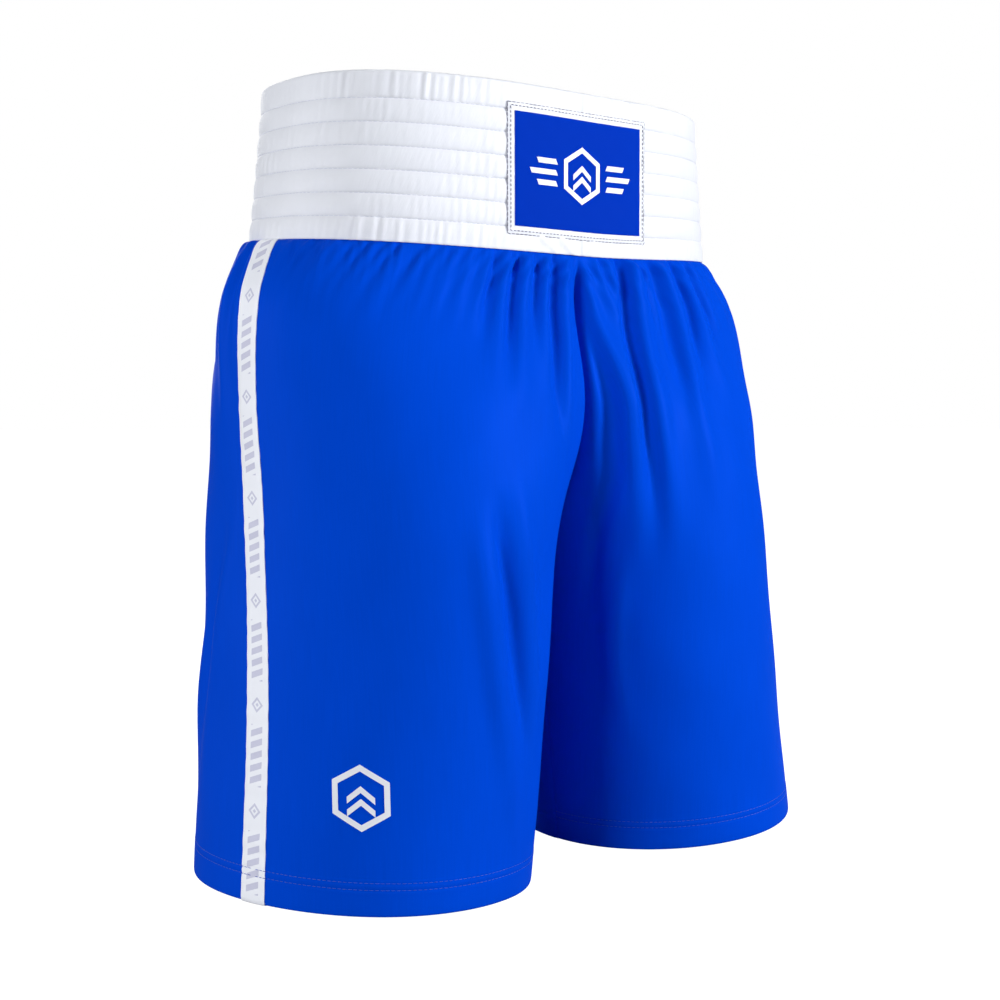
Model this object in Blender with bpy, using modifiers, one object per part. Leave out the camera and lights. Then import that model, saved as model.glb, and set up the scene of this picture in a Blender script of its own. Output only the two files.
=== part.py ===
"""Boxing shorts: a deep channelled waistband on four leg panels, with side tapes, a front patch and a leg emblem.

Metres, +Z up. The origin is the centre of the waistband's top rim, where the wearer's waist holds the shorts.
-Y is the front and -X is the wearer's right. Every surface is read from one family of cross-sections: a leg's
section is a rounded oval that stands clear of the centre plane at the hem, meets it at the crotch and is cut by it
above, where the two halves join along the centre seams. The left half is the right half seen in a mirror.

Each leg swings about a hip axis along X. The cloth is divided there along a cylinder about that axis, so that the
leg parts turn round the hip parts with a constant clearance.
"""

import math

import bmesh
import bpy

# Overall sizes.
BAND_HEIGHT = 0.100
LEG_DROP = 0.400
GAP = 0.0003

# Waistband: half sizes of its outer surface at the top rim and at the lower edge.
RIM_HALF_WIDTH = 0.1606
EDGE_HALF_WIDTH = 0.1720
BAND_HALF_DEPTH = 0.0955
BAND_BACK = 0.0125
BAND_SQUARENESS = 2.6
RIM_SLOPE = 0.026
EDGE_SLOPE = 0.069
CHANNELS = 7
CHANNEL_DIP = 0.0009
COVER_THICKNESS = 0.0010
ELASTIC_THICKNESS = 0.0014
FOLD_RADIUS = 0.0020
TUCK = 0.008

# Leg panels: one row a station down the leg, as
# (drop below the band, centre out, centre back, half width, half depth, turn in degrees, squareness).
CLOTH_THICKNESS = 0.0009
CLOTH_INSET = COVER_THICKNESS + GAP
STATIONS = (
    (0.000, 0.000, BAND_BACK, EDGE_HALF_WIDTH - CLOTH_INSET, BAND_HALF_DEPTH - CLOTH_INSET, 0.0, BAND_SQUARENESS),
    (0.040, 0.035, 0.008, 0.160, 0.0955, 3.7, 2.5),
    (0.100, 0.073, 0.007, 0.125, 0.117, 4.5, 2.3),
    (0.180, 0.0995, 0.001, 0.0995, 0.125, 7.0, 2.2),
    (0.280, 0.113, -0.009, 0.0945, 0.120, 11.0, 2.15),
    (LEG_DROP, 0.127, -0.018, 0.097, 0.111, 16.0, 2.1),
)
HEM_RISE_OUT = 0.058
HEM_RISE_BACK = -0.0155

# Trims.
TAPE_WIDTH = 0.019
TAPE_THICKNESS = 0.0005
PATCH_WIDTH = 0.1165
PATCH_HEIGHT = 0.078
PATCH_BORDER = 0.005
PATCH_TOP = 0.0125
BACKING_THICKNESS = 0.0008
FACE_THICKNESS = 0.0006
THREAD_RADIUS = 0.00022
HEM_ROWS = {"upper": 0.019, "lower": 0.015}
EMBLEM_HEIGHT = 0.037
EMBLEM_ABOVE_HEM = 0.068
EMBLEM_ANGLE = -144.5
EMBLEM_THICKNESS = 0.0004
LABEL_WIDTH = 0.030
LABEL_LENGTH = 0.045
LABEL_THICKNESS = 0.0005

# Hip axis and the cylinder that divides the cloth.
HIP_DROP = 0.190
HIP_BACK = -0.004
HIP_RADIUS = 0.150
HIP_CLEARANCE = 0.0012

# Where a hip part's rows lie, as shares of the way down to the crotch: close together where the seam turns under.
CROTCH_SHARES = (0.0, 0.1, 0.24, 0.50, 0.79, 0.92, 0.98, 1.0)

# Mesh fineness: quads in a quarter of the way round, and down a leg part.
QUARTER = 12
LEG_ROWS = 6

WHITE = (0.86, 0.88, 0.93)
BLUE = (0.0, 0.06, 0.62)
LILAC_GREY = (0.55, 0.56, 0.66)

parts = bpy.data.collections.new("boxing_shorts")


def clear_scene():
    for obj in list(bpy.data.objects):
        bpy.data.objects.remove(obj)
    bpy.context.scene.collection.children.link(parts)


def finish_material(obj, colour, roughness):
    material = bpy.data.materials.new(obj.name)
    material.use_nodes = True
    shader = material.node_tree.nodes["Principled BSDF"]
    shader.inputs["Base Color"].default_value = (*colour, 1.0)
    shader.inputs["Roughness"].default_value = roughness
    shader.inputs["Metallic"].default_value = 0.0
    obj.data.materials.append(material)


def hip_axis(side):
    """An empty on the hip axis, in the middle of the leg; side is -1 on the wearer's right, 1 on the left."""
    name = "right_hip_axis" if side < 0 else "left_hip_axis"
    empty = bpy.data.objects.new(name, None)
    empty.empty_display_size = 0.03
    empty.location = (side * STATIONS[3][1], HIP_BACK, -HIP_DROP)
    parts.objects.link(empty)
    return empty


# Sections ---------------------------------------------------------------------------------------------------------


def oval(half_width, half_depth, squareness, angle):
    """A point of a superellipse: angle 0 is +X and a quarter turn is +Y."""
    cosine, sine = math.cos(angle), math.sin(angle)
    power = 2.0 / squareness
    return (
        half_width * math.copysign(abs(cosine) ** power, cosine),
        half_depth * math.copysign(abs(sine) ** power, sine),
    )


def station(drop):
    """The section's values at a drop below the band, on a smooth curve through the stations."""
    last = len(STATIONS) - 1
    low = max(i for i in range(last) if STATIONS[i][0] <= max(drop, 0.0))
    before, start, end, after = (STATIONS[min(max(low + k, 0), last)] for k in (-1, 0, 1, 2))
    span = end[0] - start[0]
    t = (drop - start[0]) / span
    values = []
    for column in range(1, len(start)):
        slope_in = (end[column] - before[column]) / (end[0] - before[0]) * span
        slope_out = (after[column] - start[column]) / (after[0] - start[0]) * span
        rise = end[column] - start[column]
        values.append(
            start[column]
            + t * slope_in
            + t * t * (3 * rise - 2 * slope_in - slope_out)
            + t * t * t * (slope_in + slope_out - 2 * rise)
        )
    return values


def leg_point(drop, angle, lift=0.0):
    """A point of the right leg's outer surface, raised by lift. Angle 180 is the side seam, -90 the front."""
    out, back, half_width, half_depth, turn, squareness = station(drop)
    across, along = oval(half_width + lift, half_depth + lift, squareness, angle)
    cosine, sine = math.cos(math.radians(turn)), math.sin(math.radians(turn))
    low = max(drop, 0.0) / LEG_DROP
    rise = (1 - low) * EDGE_SLOPE * along + low * (HEM_RISE_BACK * along - HEM_RISE_OUT * across)
    return (across * cosine - along * sine - out, across * sine + along * cosine + back, rise - BAND_HEIGHT - drop)


def band_point(down, angle, inset=0.0):
    """A point of the waistband's outer surface, down from the rim, moved inwards by inset."""
    low = down / BAND_HEIGHT
    half_width = RIM_HALF_WIDTH + (EDGE_HALF_WIDTH - RIM_HALF_WIDTH) * low
    across, along = oval(half_width - inset, BAND_HALF_DEPTH - inset, BAND_SQUARENESS, angle)
    slope = RIM_SLOPE + (EDGE_SLOPE - RIM_SLOPE) * low
    return (across, along + BAND_BACK, slope * along - down)


def halve(reach, low, high):
    """The value between low and high where reach turns from negative to positive."""
    for _ in range(40):
        middle = (low + high) / 2
        if reach(middle) < 0:
            low = middle
        else:
            high = middle
    return (low + high) / 2


def inseam_angle(drop):
    """The angle of the section's innermost point."""
    low, high = -math.pi / 2, math.pi / 2
    for _ in range(40):
        third = (high - low) / 3
        if leg_point(drop, low + third)[0] < leg_point(drop, high - third)[0]:
            low += third
        else:
            high -= third
    return (low + high) / 2


def centre_angle(drop, face):
    """Where a panel ends at the centre: the centre plane above the crotch, the inseam below. face -1 is the front."""
    inseam = inseam_angle(drop)
    if leg_point(drop, inseam)[0] > -GAP:
        past_the_middle = face * 0.65 * math.pi
        return halve(lambda angle: leg_point(drop, angle)[0] + GAP, past_the_middle, inseam)
    return inseam + face * GAP / station(drop)[3]


def side_angle(drop, face, distance):
    """The angle at a distance from the side seam, towards the front for face -1 and the back for face 1."""
    half_depth, squareness = station(drop)[3], station(drop)[5]
    return face * (math.pi - math.asin((distance / half_depth) ** (squareness / 2)))


def hip_distance(point):
    return math.hypot(point[1] - HIP_BACK, point[2] + HIP_DROP)


def hip_cut(angle_at, radius):
    """The drop at which a column of cloth, whose angle angle_at gives, crosses the cylinder about the hip axis."""
    return halve(lambda drop: hip_distance(leg_point(drop, angle_at(drop))) - radius, 0.0, LEG_DROP)


def hip_shares():
    """The rows of a hip part as shares of the way down to the cut. The seam's column has one at the crotch."""
    crotch = halve(lambda drop: -GAP - leg_point(drop, inseam_angle(drop))[0], STATIONS[2][0], STATIONS[4][0])
    cut = hip_cut(inseam_angle, HIP_RADIUS - HIP_CLEARANCE)
    return [share * crotch / cut for share in CROTCH_SHARES] + [1.0]


# Builders ---------------------------------------------------------------------------------------------------------


def sheet(name, columns, rows, place, thickness, flip=False, loop=False, parent=None):
    """A sheet of cloth: a grid put in place by place(column, row), then thickened inwards, away from its normals."""
    origin = parent.location if parent else (0.0, 0.0, 0.0)
    shape = bmesh.new()
    bmesh.ops.create_grid(shape, x_segments=columns, y_segments=rows, size=0.5)
    for vertex in shape.verts:
        column = round((vertex.co.x + 0.5) * columns)
        row = round((0.5 - vertex.co.y) * rows)
        point = place(column, row)
        vertex.co = [point[axis] - origin[axis] for axis in range(3)]
    if loop:
        bmesh.ops.remove_doubles(shape, verts=shape.verts, dist=1e-6)
    if flip:
        bmesh.ops.reverse_faces(shape, faces=shape.faces)
    mesh = bpy.data.meshes.new(name)
    shape.to_mesh(mesh)
    shape.free()
    obj = bpy.data.objects.new(name, mesh)
    obj.parent = parent
    parts.objects.link(obj)
    mesh.shade_smooth()
    wall = obj.modifiers.new("thickness", "SOLIDIFY")
    wall.thickness = thickness
    wall.offset = -1.0
    return obj


def thread(name, points, parent=None):
    """A closed row of sewing thread through the points."""
    origin = parent.location if parent else (0.0, 0.0, 0.0)
    curve = bpy.data.curves.new(name, "CURVE")
    curve.dimensions = "3D"
    curve.bevel_depth = THREAD_RADIUS
    curve.bevel_resolution = 0
    spline = curve.splines.new("POLY")
    spline.points.add(len(points) - 1)
    for knot, point in zip(spline.points, points):
        knot.co = (*(point[axis] - origin[axis] for axis in range(3)), 1.0)
    spline.use_cyclic_u = True
    obj = bpy.data.objects.new(name, curve)
    obj.parent = parent
    parts.objects.link(obj)
    return obj


def mirrored(point, side):
    return (-side * point[0], point[1], point[2])


# Pieces -----------------------------------------------------------------------------------------------------------


def ring_angle(column):
    return 2 * math.pi * column / (4 * QUARTER)


def channel_valley(index):
    """How far below the rim the stitch line under channel index runs; the first channel is the deepest."""
    first = 1.2 * BAND_HEIGHT / (CHANNELS + 0.2)
    return first + index * (BAND_HEIGHT - first) / (CHANNELS - 1)


def add_waistband():
    """The cover is one strip folded over the top of the elastic, so in section it is an upside-down U."""
    outer = [(BAND_HEIGHT, 0.0)]
    for index in reversed(range(CHANNELS - 1)):
        below = channel_valley(index + 1) if index + 1 < CHANNELS - 1 else BAND_HEIGHT
        outer.append(((below + channel_valley(index)) / 2, 0.0))
        outer.append((channel_valley(index), CHANNEL_DIP))
    outer.append(((channel_valley(0) + FOLD_RADIUS) / 2, 0.0))
    width = 2 * COVER_THICKNESS + 2 * GAP + ELASTIC_THICKNESS + CHANNEL_DIP
    fold = []
    for step in range(5):
        turn = math.pi * step / 4
        fold.append((FOLD_RADIUS * (1 - math.sin(turn)), width / 2 * (1 - math.cos(turn))))
    profile = outer + fold + [(BAND_HEIGHT, width)]
    cover = sheet(
        "waistband_cover",
        4 * QUARTER,
        len(profile) - 1,
        lambda column, row: band_point(profile[row][0], ring_angle(column), profile[row][1]),
        COVER_THICKNESS,
        flip=True,
        loop=True,
    )
    finish_material(cover, WHITE, 0.55)

    top = FOLD_RADIUS + COVER_THICKNESS
    bottom = BAND_HEIGHT - TUCK - 3 * GAP
    inset = COVER_THICKNESS + CHANNEL_DIP + GAP
    elastic = sheet(
        "waistband_elastic",
        4 * QUARTER,
        2,
        lambda column, row: band_point(top + (bottom - top) * row / 2, ring_angle(column), inset),
        ELASTIC_THICKNESS,
        loop=True,
    )
    finish_material(elastic, (0.80, 0.80, 0.78), 0.8)

    for index in range(CHANNELS - 1):
        inset = CHANNEL_DIP - GAP - 2 * THREAD_RADIUS
        ring = [band_point(channel_valley(index), ring_angle(k), inset) for k in range(4 * QUARTER)]
        finish_material(thread(f"waistband_stitch_{index + 1}", ring), WHITE, 0.5)


def add_patch():
    """A white backing with a blue face on it, sewn over the front of the band."""

    def layer(name, width, height, lift, thickness, colour):
        columns, rows = 9, 3

        def place(column, row):
            across = width * (column / columns - 0.5)
            down = PATCH_TOP + (PATCH_HEIGHT - height) / 2 + height * row / rows
            angle = halve(lambda a: band_point(down, a, -lift)[0] - across, -math.pi, 0.0)
            return band_point(down, angle, -lift)

        finish_material(sheet(name, columns, rows, place, thickness), colour, 0.5)

    backing_lift = GAP + BACKING_THICKNESS
    face_lift = backing_lift + GAP + FACE_THICKNESS
    layer("patch_backing", PATCH_WIDTH, PATCH_HEIGHT, backing_lift, BACKING_THICKNESS, WHITE)
    border = 2 * PATCH_BORDER
    layer("patch_face", PATCH_WIDTH - border, PATCH_HEIGHT - border, face_lift, FACE_THICKNESS, BLUE)

    half_width = (PATCH_WIDTH - PATCH_BORDER) / 2
    top, bottom = PATCH_TOP + PATCH_BORDER / 2, PATCH_TOP + PATCH_HEIGHT - PATCH_BORDER / 2
    lift = backing_lift + GAP + 2 * THREAD_RADIUS
    steps = 9
    route = [(half_width * (2 * k / steps - 1), top) for k in range(steps)]
    route += [(half_width, top + (bottom - top) * k / steps) for k in range(steps)]
    route += [(half_width * (1 - 2 * k / steps), bottom) for k in range(steps)]
    route += [(-half_width, bottom + (top - bottom) * k / steps) for k in range(steps)]
    points = []
    for across, down in route:
        angle = halve(lambda a: band_point(down, a, -lift)[0] - across, -math.pi, 0.0)
        points.append(band_point(down, angle, -lift))
    finish_material(thread("patch_stitching", points), LILAC_GREY, 0.5)


def add_panel(side, face, hinge, shares):
    """One leg panel, front for face -1 and back for face 1, as its hip part and its leg part."""

    def angle_at(share):
        def angle(drop):
            start = centre_angle(drop, face)
            return start + (side_angle(drop, face, GAP) - start) * share

        return angle

    def hip_place(column, row):
        angle = angle_at(column / QUARTER)
        if row == 0:
            rim_angle = angle(0.0)
            return mirrored(band_point(BAND_HEIGHT - TUCK, rim_angle, CLOTH_INSET), side)
        drop = hip_cut(angle, HIP_RADIUS - HIP_CLEARANCE) * shares[row - 1]
        return mirrored(leg_point(drop, angle(drop)), side)

    def leg_place(column, row):
        angle = angle_at(column / QUARTER)
        start = hip_cut(angle, HIP_RADIUS + HIP_CLEARANCE)
        drop = start + (LEG_DROP - start) * row / LEG_ROWS
        return mirrored(leg_point(drop, angle(drop)), side)

    which = "front" if face < 0 else "back"
    name = f"{which}_panel_{'right' if side < 0 else 'left'}"
    flip = side * face > 0
    hip = sheet(f"{name}_hip", QUARTER, len(shares), hip_place, CLOTH_THICKNESS, flip=flip)
    leg = sheet(f"{name}_leg", QUARTER, LEG_ROWS, leg_place, CLOTH_THICKNESS, flip=flip, parent=hinge)
    finish_material(hip, BLUE, 0.45)
    finish_material(leg, BLUE, 0.45)


def add_tape(side, hinge, shares):
    """The ribbon over a side seam, as its hip part and its leg part."""
    lift = 2 * GAP + TAPE_THICKNESS

    def angle_at(column):
        distance = TAPE_WIDTH / 2 * abs(column - 1)

        def angle(drop):
            return side_angle(drop, -1 if column == 0 else 1, distance)

        return angle

    def hip_place(column, row):
        angle = angle_at(column)
        drop = max(hip_cut(angle, HIP_RADIUS - HIP_CLEARANCE) * shares[row], 3 * GAP)
        return mirrored(leg_point(drop, angle(drop), lift), side)

    def leg_place(column, row):
        angle = angle_at(column)
        start = hip_cut(angle, HIP_RADIUS + HIP_CLEARANCE)
        drop = start + (LEG_DROP - start) * row / LEG_ROWS
        return mirrored(leg_point(drop, angle(drop), lift), side)

    name = "side_tape_right" if side < 0 else "side_tape_left"
    finish_material(sheet(f"{name}_hip", 2, len(shares) - 1, hip_place, TAPE_THICKNESS, flip=side < 0), WHITE, 0.4)
    leg = sheet(f"{name}_leg", 2, LEG_ROWS, leg_place, TAPE_THICKNESS, flip=side < 0, parent=hinge)
    finish_material(leg, WHITE, 0.4)


def add_hem_stitches(side, hinge):
    """Two rows of thread round a leg, which climb over the tape at the side seam."""
    low = GAP + 2 * THREAD_RADIUS
    high = low + 2 * GAP + TAPE_THICKNESS
    for row, height in HEM_ROWS.items():
        drop = LEG_DROP - height
        seam = [(side_angle(drop, 1, TAPE_WIDTH / 2 + 0.004), low), (side_angle(drop, 1, TAPE_WIDTH / 2 + GAP), high)]
        crossing = seam + [(2 * math.pi - angle, lift) for angle, lift in reversed(seam)]
        first, last = crossing[-1][0], crossing[0][0] + 2 * math.pi
        count = 4 * QUARTER - 2
        around = [(first + (last - first) * k / count, low) for k in range(1, count)]
        ring = [mirrored(leg_point(drop, angle, lift), side) for angle, lift in crossing + around]
        name = f"hem_stitch_{'right' if side < 0 else 'left'}_{row}"
        finish_material(thread(name, ring, parent=hinge), BLUE, 0.5)


def add_emblem(hinge):
    """A small print low on the front of the right leg."""
    columns, rows = 3, 3
    middle = LEG_DROP - EMBLEM_ABOVE_HEM
    lift = GAP + EMBLEM_THICKNESS
    half_angle = EMBLEM_HEIGHT / 2 / station(middle)[2]

    def place(column, row):
        drop = middle + EMBLEM_HEIGHT * (row / rows - 0.5)
        return leg_point(drop, math.radians(EMBLEM_ANGLE) + half_angle * (1 - 2 * column / columns), lift)

    finish_material(sheet("leg_emblem", columns, rows, place, EMBLEM_THICKNESS, flip=True, parent=hinge), WHITE, 0.6)


def add_care_label():
    """A blank label inside the centre back, hanging from the seam under the band."""
    columns, rows = 4, 2
    inset = CLOTH_THICKNESS + 4 * GAP

    def place(column, row):
        drop = 4 * GAP + LABEL_LENGTH * row / rows
        across = -LABEL_WIDTH * abs(column / columns - 0.5)
        angle = halve(lambda a: -leg_point(drop, a, -inset)[0] + across, inseam_angle(drop), math.pi)
        point = leg_point(drop, angle, -inset)
        return (LABEL_WIDTH * (0.5 - column / columns), point[1], point[2])

    finish_material(sheet("care_label", columns, rows, place, LABEL_THICKNESS), WHITE, 0.7)


def build():
    clear_scene()
    add_waistband()
    add_patch()
    shares = hip_shares()
    for side in (-1, 1):
        hinge = hip_axis(side)
        for face in (-1, 1):
            add_panel(side, face, hinge, shares)
        add_tape(side, hinge, shares)
        add_hem_stitches(side, hinge)
        if side < 0:
            add_emblem(hinge)
    add_care_label()


build()
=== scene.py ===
"""Boxing shorts: the looks of every piece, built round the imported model.

The cloth is read from one family of cross-sections, the same that the frame's panels follow, and then
given its gathers, drag lines, seams, hems and channels. -Y is the front, -X the wearer's right, and z = 0
the band's top rim.
"""

import math

import bpy
import numpy as np
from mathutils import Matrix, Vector


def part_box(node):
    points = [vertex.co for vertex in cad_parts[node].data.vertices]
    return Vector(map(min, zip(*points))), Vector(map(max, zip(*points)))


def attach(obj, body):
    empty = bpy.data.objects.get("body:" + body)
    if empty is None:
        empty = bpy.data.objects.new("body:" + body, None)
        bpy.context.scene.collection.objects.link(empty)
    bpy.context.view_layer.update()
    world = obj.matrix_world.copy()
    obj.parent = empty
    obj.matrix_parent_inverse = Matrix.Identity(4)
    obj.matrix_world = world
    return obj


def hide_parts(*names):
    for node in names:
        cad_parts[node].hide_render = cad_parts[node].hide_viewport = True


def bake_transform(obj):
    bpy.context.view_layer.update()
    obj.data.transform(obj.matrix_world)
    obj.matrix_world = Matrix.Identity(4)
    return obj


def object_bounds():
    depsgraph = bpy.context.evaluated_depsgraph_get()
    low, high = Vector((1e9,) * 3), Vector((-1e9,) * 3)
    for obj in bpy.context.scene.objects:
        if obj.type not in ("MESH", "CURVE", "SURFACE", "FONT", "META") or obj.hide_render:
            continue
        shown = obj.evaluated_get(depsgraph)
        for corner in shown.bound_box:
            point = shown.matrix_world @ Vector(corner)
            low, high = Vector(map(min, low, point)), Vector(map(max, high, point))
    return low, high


bl_info = {
    "name": "Boxing Shorts",
    "version": (1, 0, 0),
    "blender": (4, 5, 0),
    "location": "View3D > Sidebar > Shorts",
    "description": "Builds a pair of satin boxing shorts with a deep channelled waistband",
    "category": "Add Mesh",
}

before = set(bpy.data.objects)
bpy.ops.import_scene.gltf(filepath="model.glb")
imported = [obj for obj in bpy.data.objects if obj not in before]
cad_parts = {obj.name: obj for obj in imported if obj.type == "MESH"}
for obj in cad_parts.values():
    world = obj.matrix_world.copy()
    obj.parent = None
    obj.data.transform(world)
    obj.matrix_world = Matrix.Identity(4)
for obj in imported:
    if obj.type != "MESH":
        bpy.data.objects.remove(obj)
CAD_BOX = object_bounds()
BAND_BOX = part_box("waistband_cover")
SIDES = {"right": -1, "left": 1}
FACES = {"front": -1, "back": 1}

# The cloth's family of sections: (drop below the band, centre out, centre back, half width, half depth,
# turn in degrees, squareness). The band's outer surface is a ring that widens from the rim to its lower edge.
BAND_HEIGHT = 0.100
BAND_BACK = 0.0125
BAND_HALF_DEPTH = 0.0955
BAND_SQUARENESS = 2.6
RIM_HALF_WIDTH = 0.1606
EDGE_HALF_WIDTH = BAND_BOX[1].x
RIM_SLOPE, EDGE_SLOPE = 0.026, 0.069
LEG_DROP = 0.400
CLOTH_INSET = 0.0013
STATIONS = np.array(
    (
        (
            0.000,
            0.000,
            BAND_BACK,
            EDGE_HALF_WIDTH - CLOTH_INSET,
            BAND_HALF_DEPTH - CLOTH_INSET,
            0.0,
            BAND_SQUARENESS,
        ),
        (0.040, 0.035, 0.008, 0.160, 0.0955, 3.7, 2.5),
        (0.100, 0.073, 0.007, 0.125, 0.117, 4.5, 2.3),
        (0.180, 0.0995, 0.001, 0.0995, 0.125, 7.0, 2.2),
        (0.280, 0.113, -0.009, 0.0945, 0.120, 11.0, 2.15),
        (LEG_DROP, 0.127, -0.018, 0.097, 0.111, 16.0, 2.1),
    )
)
HEM_RISE_OUT, HEM_RISE_BACK = 0.058, -0.0155
SEAM_GAP = 0.0001
CLOTH_THICKNESS = 0.0005
HEM_DEPTH = 0.020
MM = 0.001

# Folds of the leg cloth, in millimetres: half width, height, and the line that the fold follows, as
# distances from the side seam and drops below the band. A fold with a height below zero is a furrow.
FOLDS = {
    ("right", "front"): (
        (5.0, 1.8, (211, 0), (226, 45), (232, 90), (235, 125)),
        (4.0, -2.7, (202, 0), (217, 48), (223, 90), (229, 120)),
        (6.0, 1.8, (197, 0), (207, 45), (212, 85)),
        (3.2, -1.8, (188, 0), (198, 35), (202, 60)),
        (6.0, 2.0, (180, 0), (188, 50), (189, 95)),
        (3.6, -2.2, (173, 0), (179, 45), (179, 80)),
        (6.0, 1.9, (166, 0), (170, 45), (168, 85)),
        (3.6, -1.6, (158, 0), (160, 35), (159, 60)),
        (5.0, 1.3, (153, 0), (153, 34), (151, 55)),
        (4.5, 1.1, (139, 0), (139, 35), (137, 55)),
        (4.0, 1.0, (130, 0), (124, 36), (121, 50)),
        (4.0, 0.9, (120, 0), (113, 37), (109, 50)),
        (4.0, 0.8, (111, 0), (104, 31), (99, 45)),
        (5.0, 0.8, (96, 0), (86, 38), (80, 55)),
        (5.0, 0.5, (80, 0), (72, 30), (67, 45)),
        (7.0, 1.0, (56, 5), (42, 31), (30, 48)),
        (8.0, 2.6, (153, 175), (156, 227), (160, 275), (170, 332), (176, 365)),
        (5.6, -4.1, (168, 165), (173, 215), (177, 252), (184, 310)),
        (7.0, 1.8, (184, 150), (190, 216), (194, 254), (197, 300)),
    ),
    ("left", "front"): (
        (5.0, 1.6, (224, 0), (230, 40), (234, 80), (239, 110), (246, 140)),
        (6.0, -3.6, (240, 50), (245, 93), (249, 120), (251, 146), (262, 185), (268, 230)),
        (9.0, 2.4, (227, 50), (232, 93), (236, 120), (237, 146), (236, 200)),
        (3.5, 1.0, (210, 0), (212, 30), (213, 40)),
        (3.0, -1.2, (206, 0), (208, 25), (209, 35)),
        (3.5, 0.8, (200, 0), (202, 30), (203, 40)),
        (9.0, 1.2, (201, 10), (218, 60), (231, 110), (234, 170)),
        (5.2, -4.3, (184, 0), (200, 34), (213, 67), (221, 93), (224, 120), (222, 185)),
        (7.0, 2.6, (174, 0), (189, 34), (203, 67), (211, 93), (214, 120), (210, 190)),
        (4.8, -2.4, (155, 0), (165, 36), (174, 60), (187, 100)),
        (3.0, -0.8, (168, 5), (179, 40), (184, 55)),
        (6.5, 2.2, (145, 0), (154, 39), (166, 67), (176, 94), (178, 121), (177, 170)),
        (4.0, -2.2, (132, 0), (138, 32), (147, 53), (156, 80)),
        (5.5, 1.5, (124, 0), (131, 39), (136, 63), (138, 95)),
        (3.6, -1.2, (115, 0), (121, 40), (125, 60)),
        (5.0, 0.9, (107, 0), (114, 45), (118, 62)),
        (5.0, 0.7, (91, 0), (94, 40), (96, 55)),
        (5.0, 0.6, (74, 0), (72, 38), (71, 50)),
        (5.0, 0.6, (56, 0), (52, 35), (49, 48)),
        (5.0, 0.5, (36, 0), (31, 35), (28, 48)),
        (8.0, 1.6, (246, 200), (248, 260), (236, 330)),
    ),
    ("right", "back"): (
        (10.0, 2.0, (215, 140), (180, 230), (150, 320)),
        (9.0, -1.8, (235, 150), (205, 240), (180, 330)),
        (11.0, 1.7, (18, 170), (48, 260), (66, 350)),
        (9.0, -1.4, (34, 190), (66, 270), (88, 350)),
        (10.0, 1.2, (62, 230), (96, 310), (112, 370)),
        (12.0, 1.4, (205, 30), (222, 90), (226, 140)),
    ),
    ("left", "back"): (
        (10.0, 2.0, (215, 140), (185, 225), (160, 310)),
        (9.0, -1.7, (235, 150), (208, 235), (188, 320)),
        (11.0, 1.5, (20, 180), (46, 265), (60, 345)),
        (9.0, -1.2, (36, 195), (64, 275), (82, 350)),
        (12.0, 1.4, (200, 30), (220, 90), (226, 140)),
    ),
}

# How deep the centre seam lies between the gathers.
CENTRE_FURROW = {"front": 0.0060, "back": 0.0010}

CHANNELS = 7
BAND_FOLD_RADIUS = 0.0022
BAND_THICKNESS = 0.0052
BAND_LEAN = 0.0065
TURNED_EDGE = 0.009
PATCH_TOP = 0.0125
PATCH_BORDER = 0.005
BAR_START = 0.0205
BAR_HALF = 0.0016
HEM_ROWS = {"upper": 0.019, "lower": 0.015}
EMBLEM_DROP = 0.332
EMBLEM_ANGLE = math.radians(-144.5)


class ShortsSizes(bpy.types.PropertyGroup):
    """The sizes that a user would change."""

    puff: bpy.props.FloatProperty(
        name="Channel puff",
        description="Rise of a channel over its stitch lines",
        default=0.0012,
        unit="LENGTH"
    )
    pucker: bpy.props.FloatProperty(
        name="Pucker",
        description="Depth of the small gathers in the waistband",
        default=0.00015,
        unit="LENGTH"
    )
    gather: bpy.props.FloatProperty(
        name="Gather",
        description="Strength of the gathers and folds in the legs",
        default=2.1,
        min=0.0,
        max=2.5
    )
    stitch: bpy.props.FloatProperty(
        name="Stitch", description="Length of one visible stitch", default=0.0026, unit="LENGTH"
    )
    tape_width: bpy.props.FloatProperty(
        name="Tape width", description="Width of the side tape", default=0.019, unit="LENGTH"
    )
    patch_width: bpy.props.FloatProperty(
        name="Patch width",
        description="Width of the front patch",
        default=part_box("patch_backing")[1].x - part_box("patch_backing")[0].x,
        unit="LENGTH",
    )
    patch_height: bpy.props.FloatProperty(
        name="Patch height", description="Height of the front patch", default=0.078, unit="LENGTH"
    )


class ShortsColours(bpy.types.PropertyGroup):
    """The colours of the cloths and threads."""

    blue: bpy.props.FloatVectorProperty(
        name="Blue",
        description="Colour of the leg cloth",
        subtype="COLOR",
        size=3,
        default=(0.0, 0.054, 0.57)
    )
    white: bpy.props.FloatVectorProperty(
        name="White",
        description="Colour of the waistband",
        subtype="COLOR",
        size=3,
        default=(0.73, 0.755, 0.82)
    )
    grey: bpy.props.FloatVectorProperty(
        name="Grey",
        description="Colour of the woven pattern",
        subtype="COLOR",
        size=3,
        default=(0.50, 0.51, 0.68)
    )
    patch: bpy.props.FloatVectorProperty(
        name="Patch blue",
        description="Colour of the patch's face",
        subtype="COLOR",
        size=3,
        default=(0.0, 0.030, 0.42)
    )


# Sections -----------------------------------------------------------------------------------------


def oval(half_width, half_depth, squareness, angle):
    """Points of a superellipse: angle 0 is +X and a quarter turn is +Y."""
    cosine, sine = np.cos(angle), np.sin(angle)
    power = 2.0 / squareness
    return (
        half_width * np.sign(cosine) * np.abs(cosine) ** power,
        half_depth * np.sign(sine) * np.abs(sine) ** power,
    )


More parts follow.
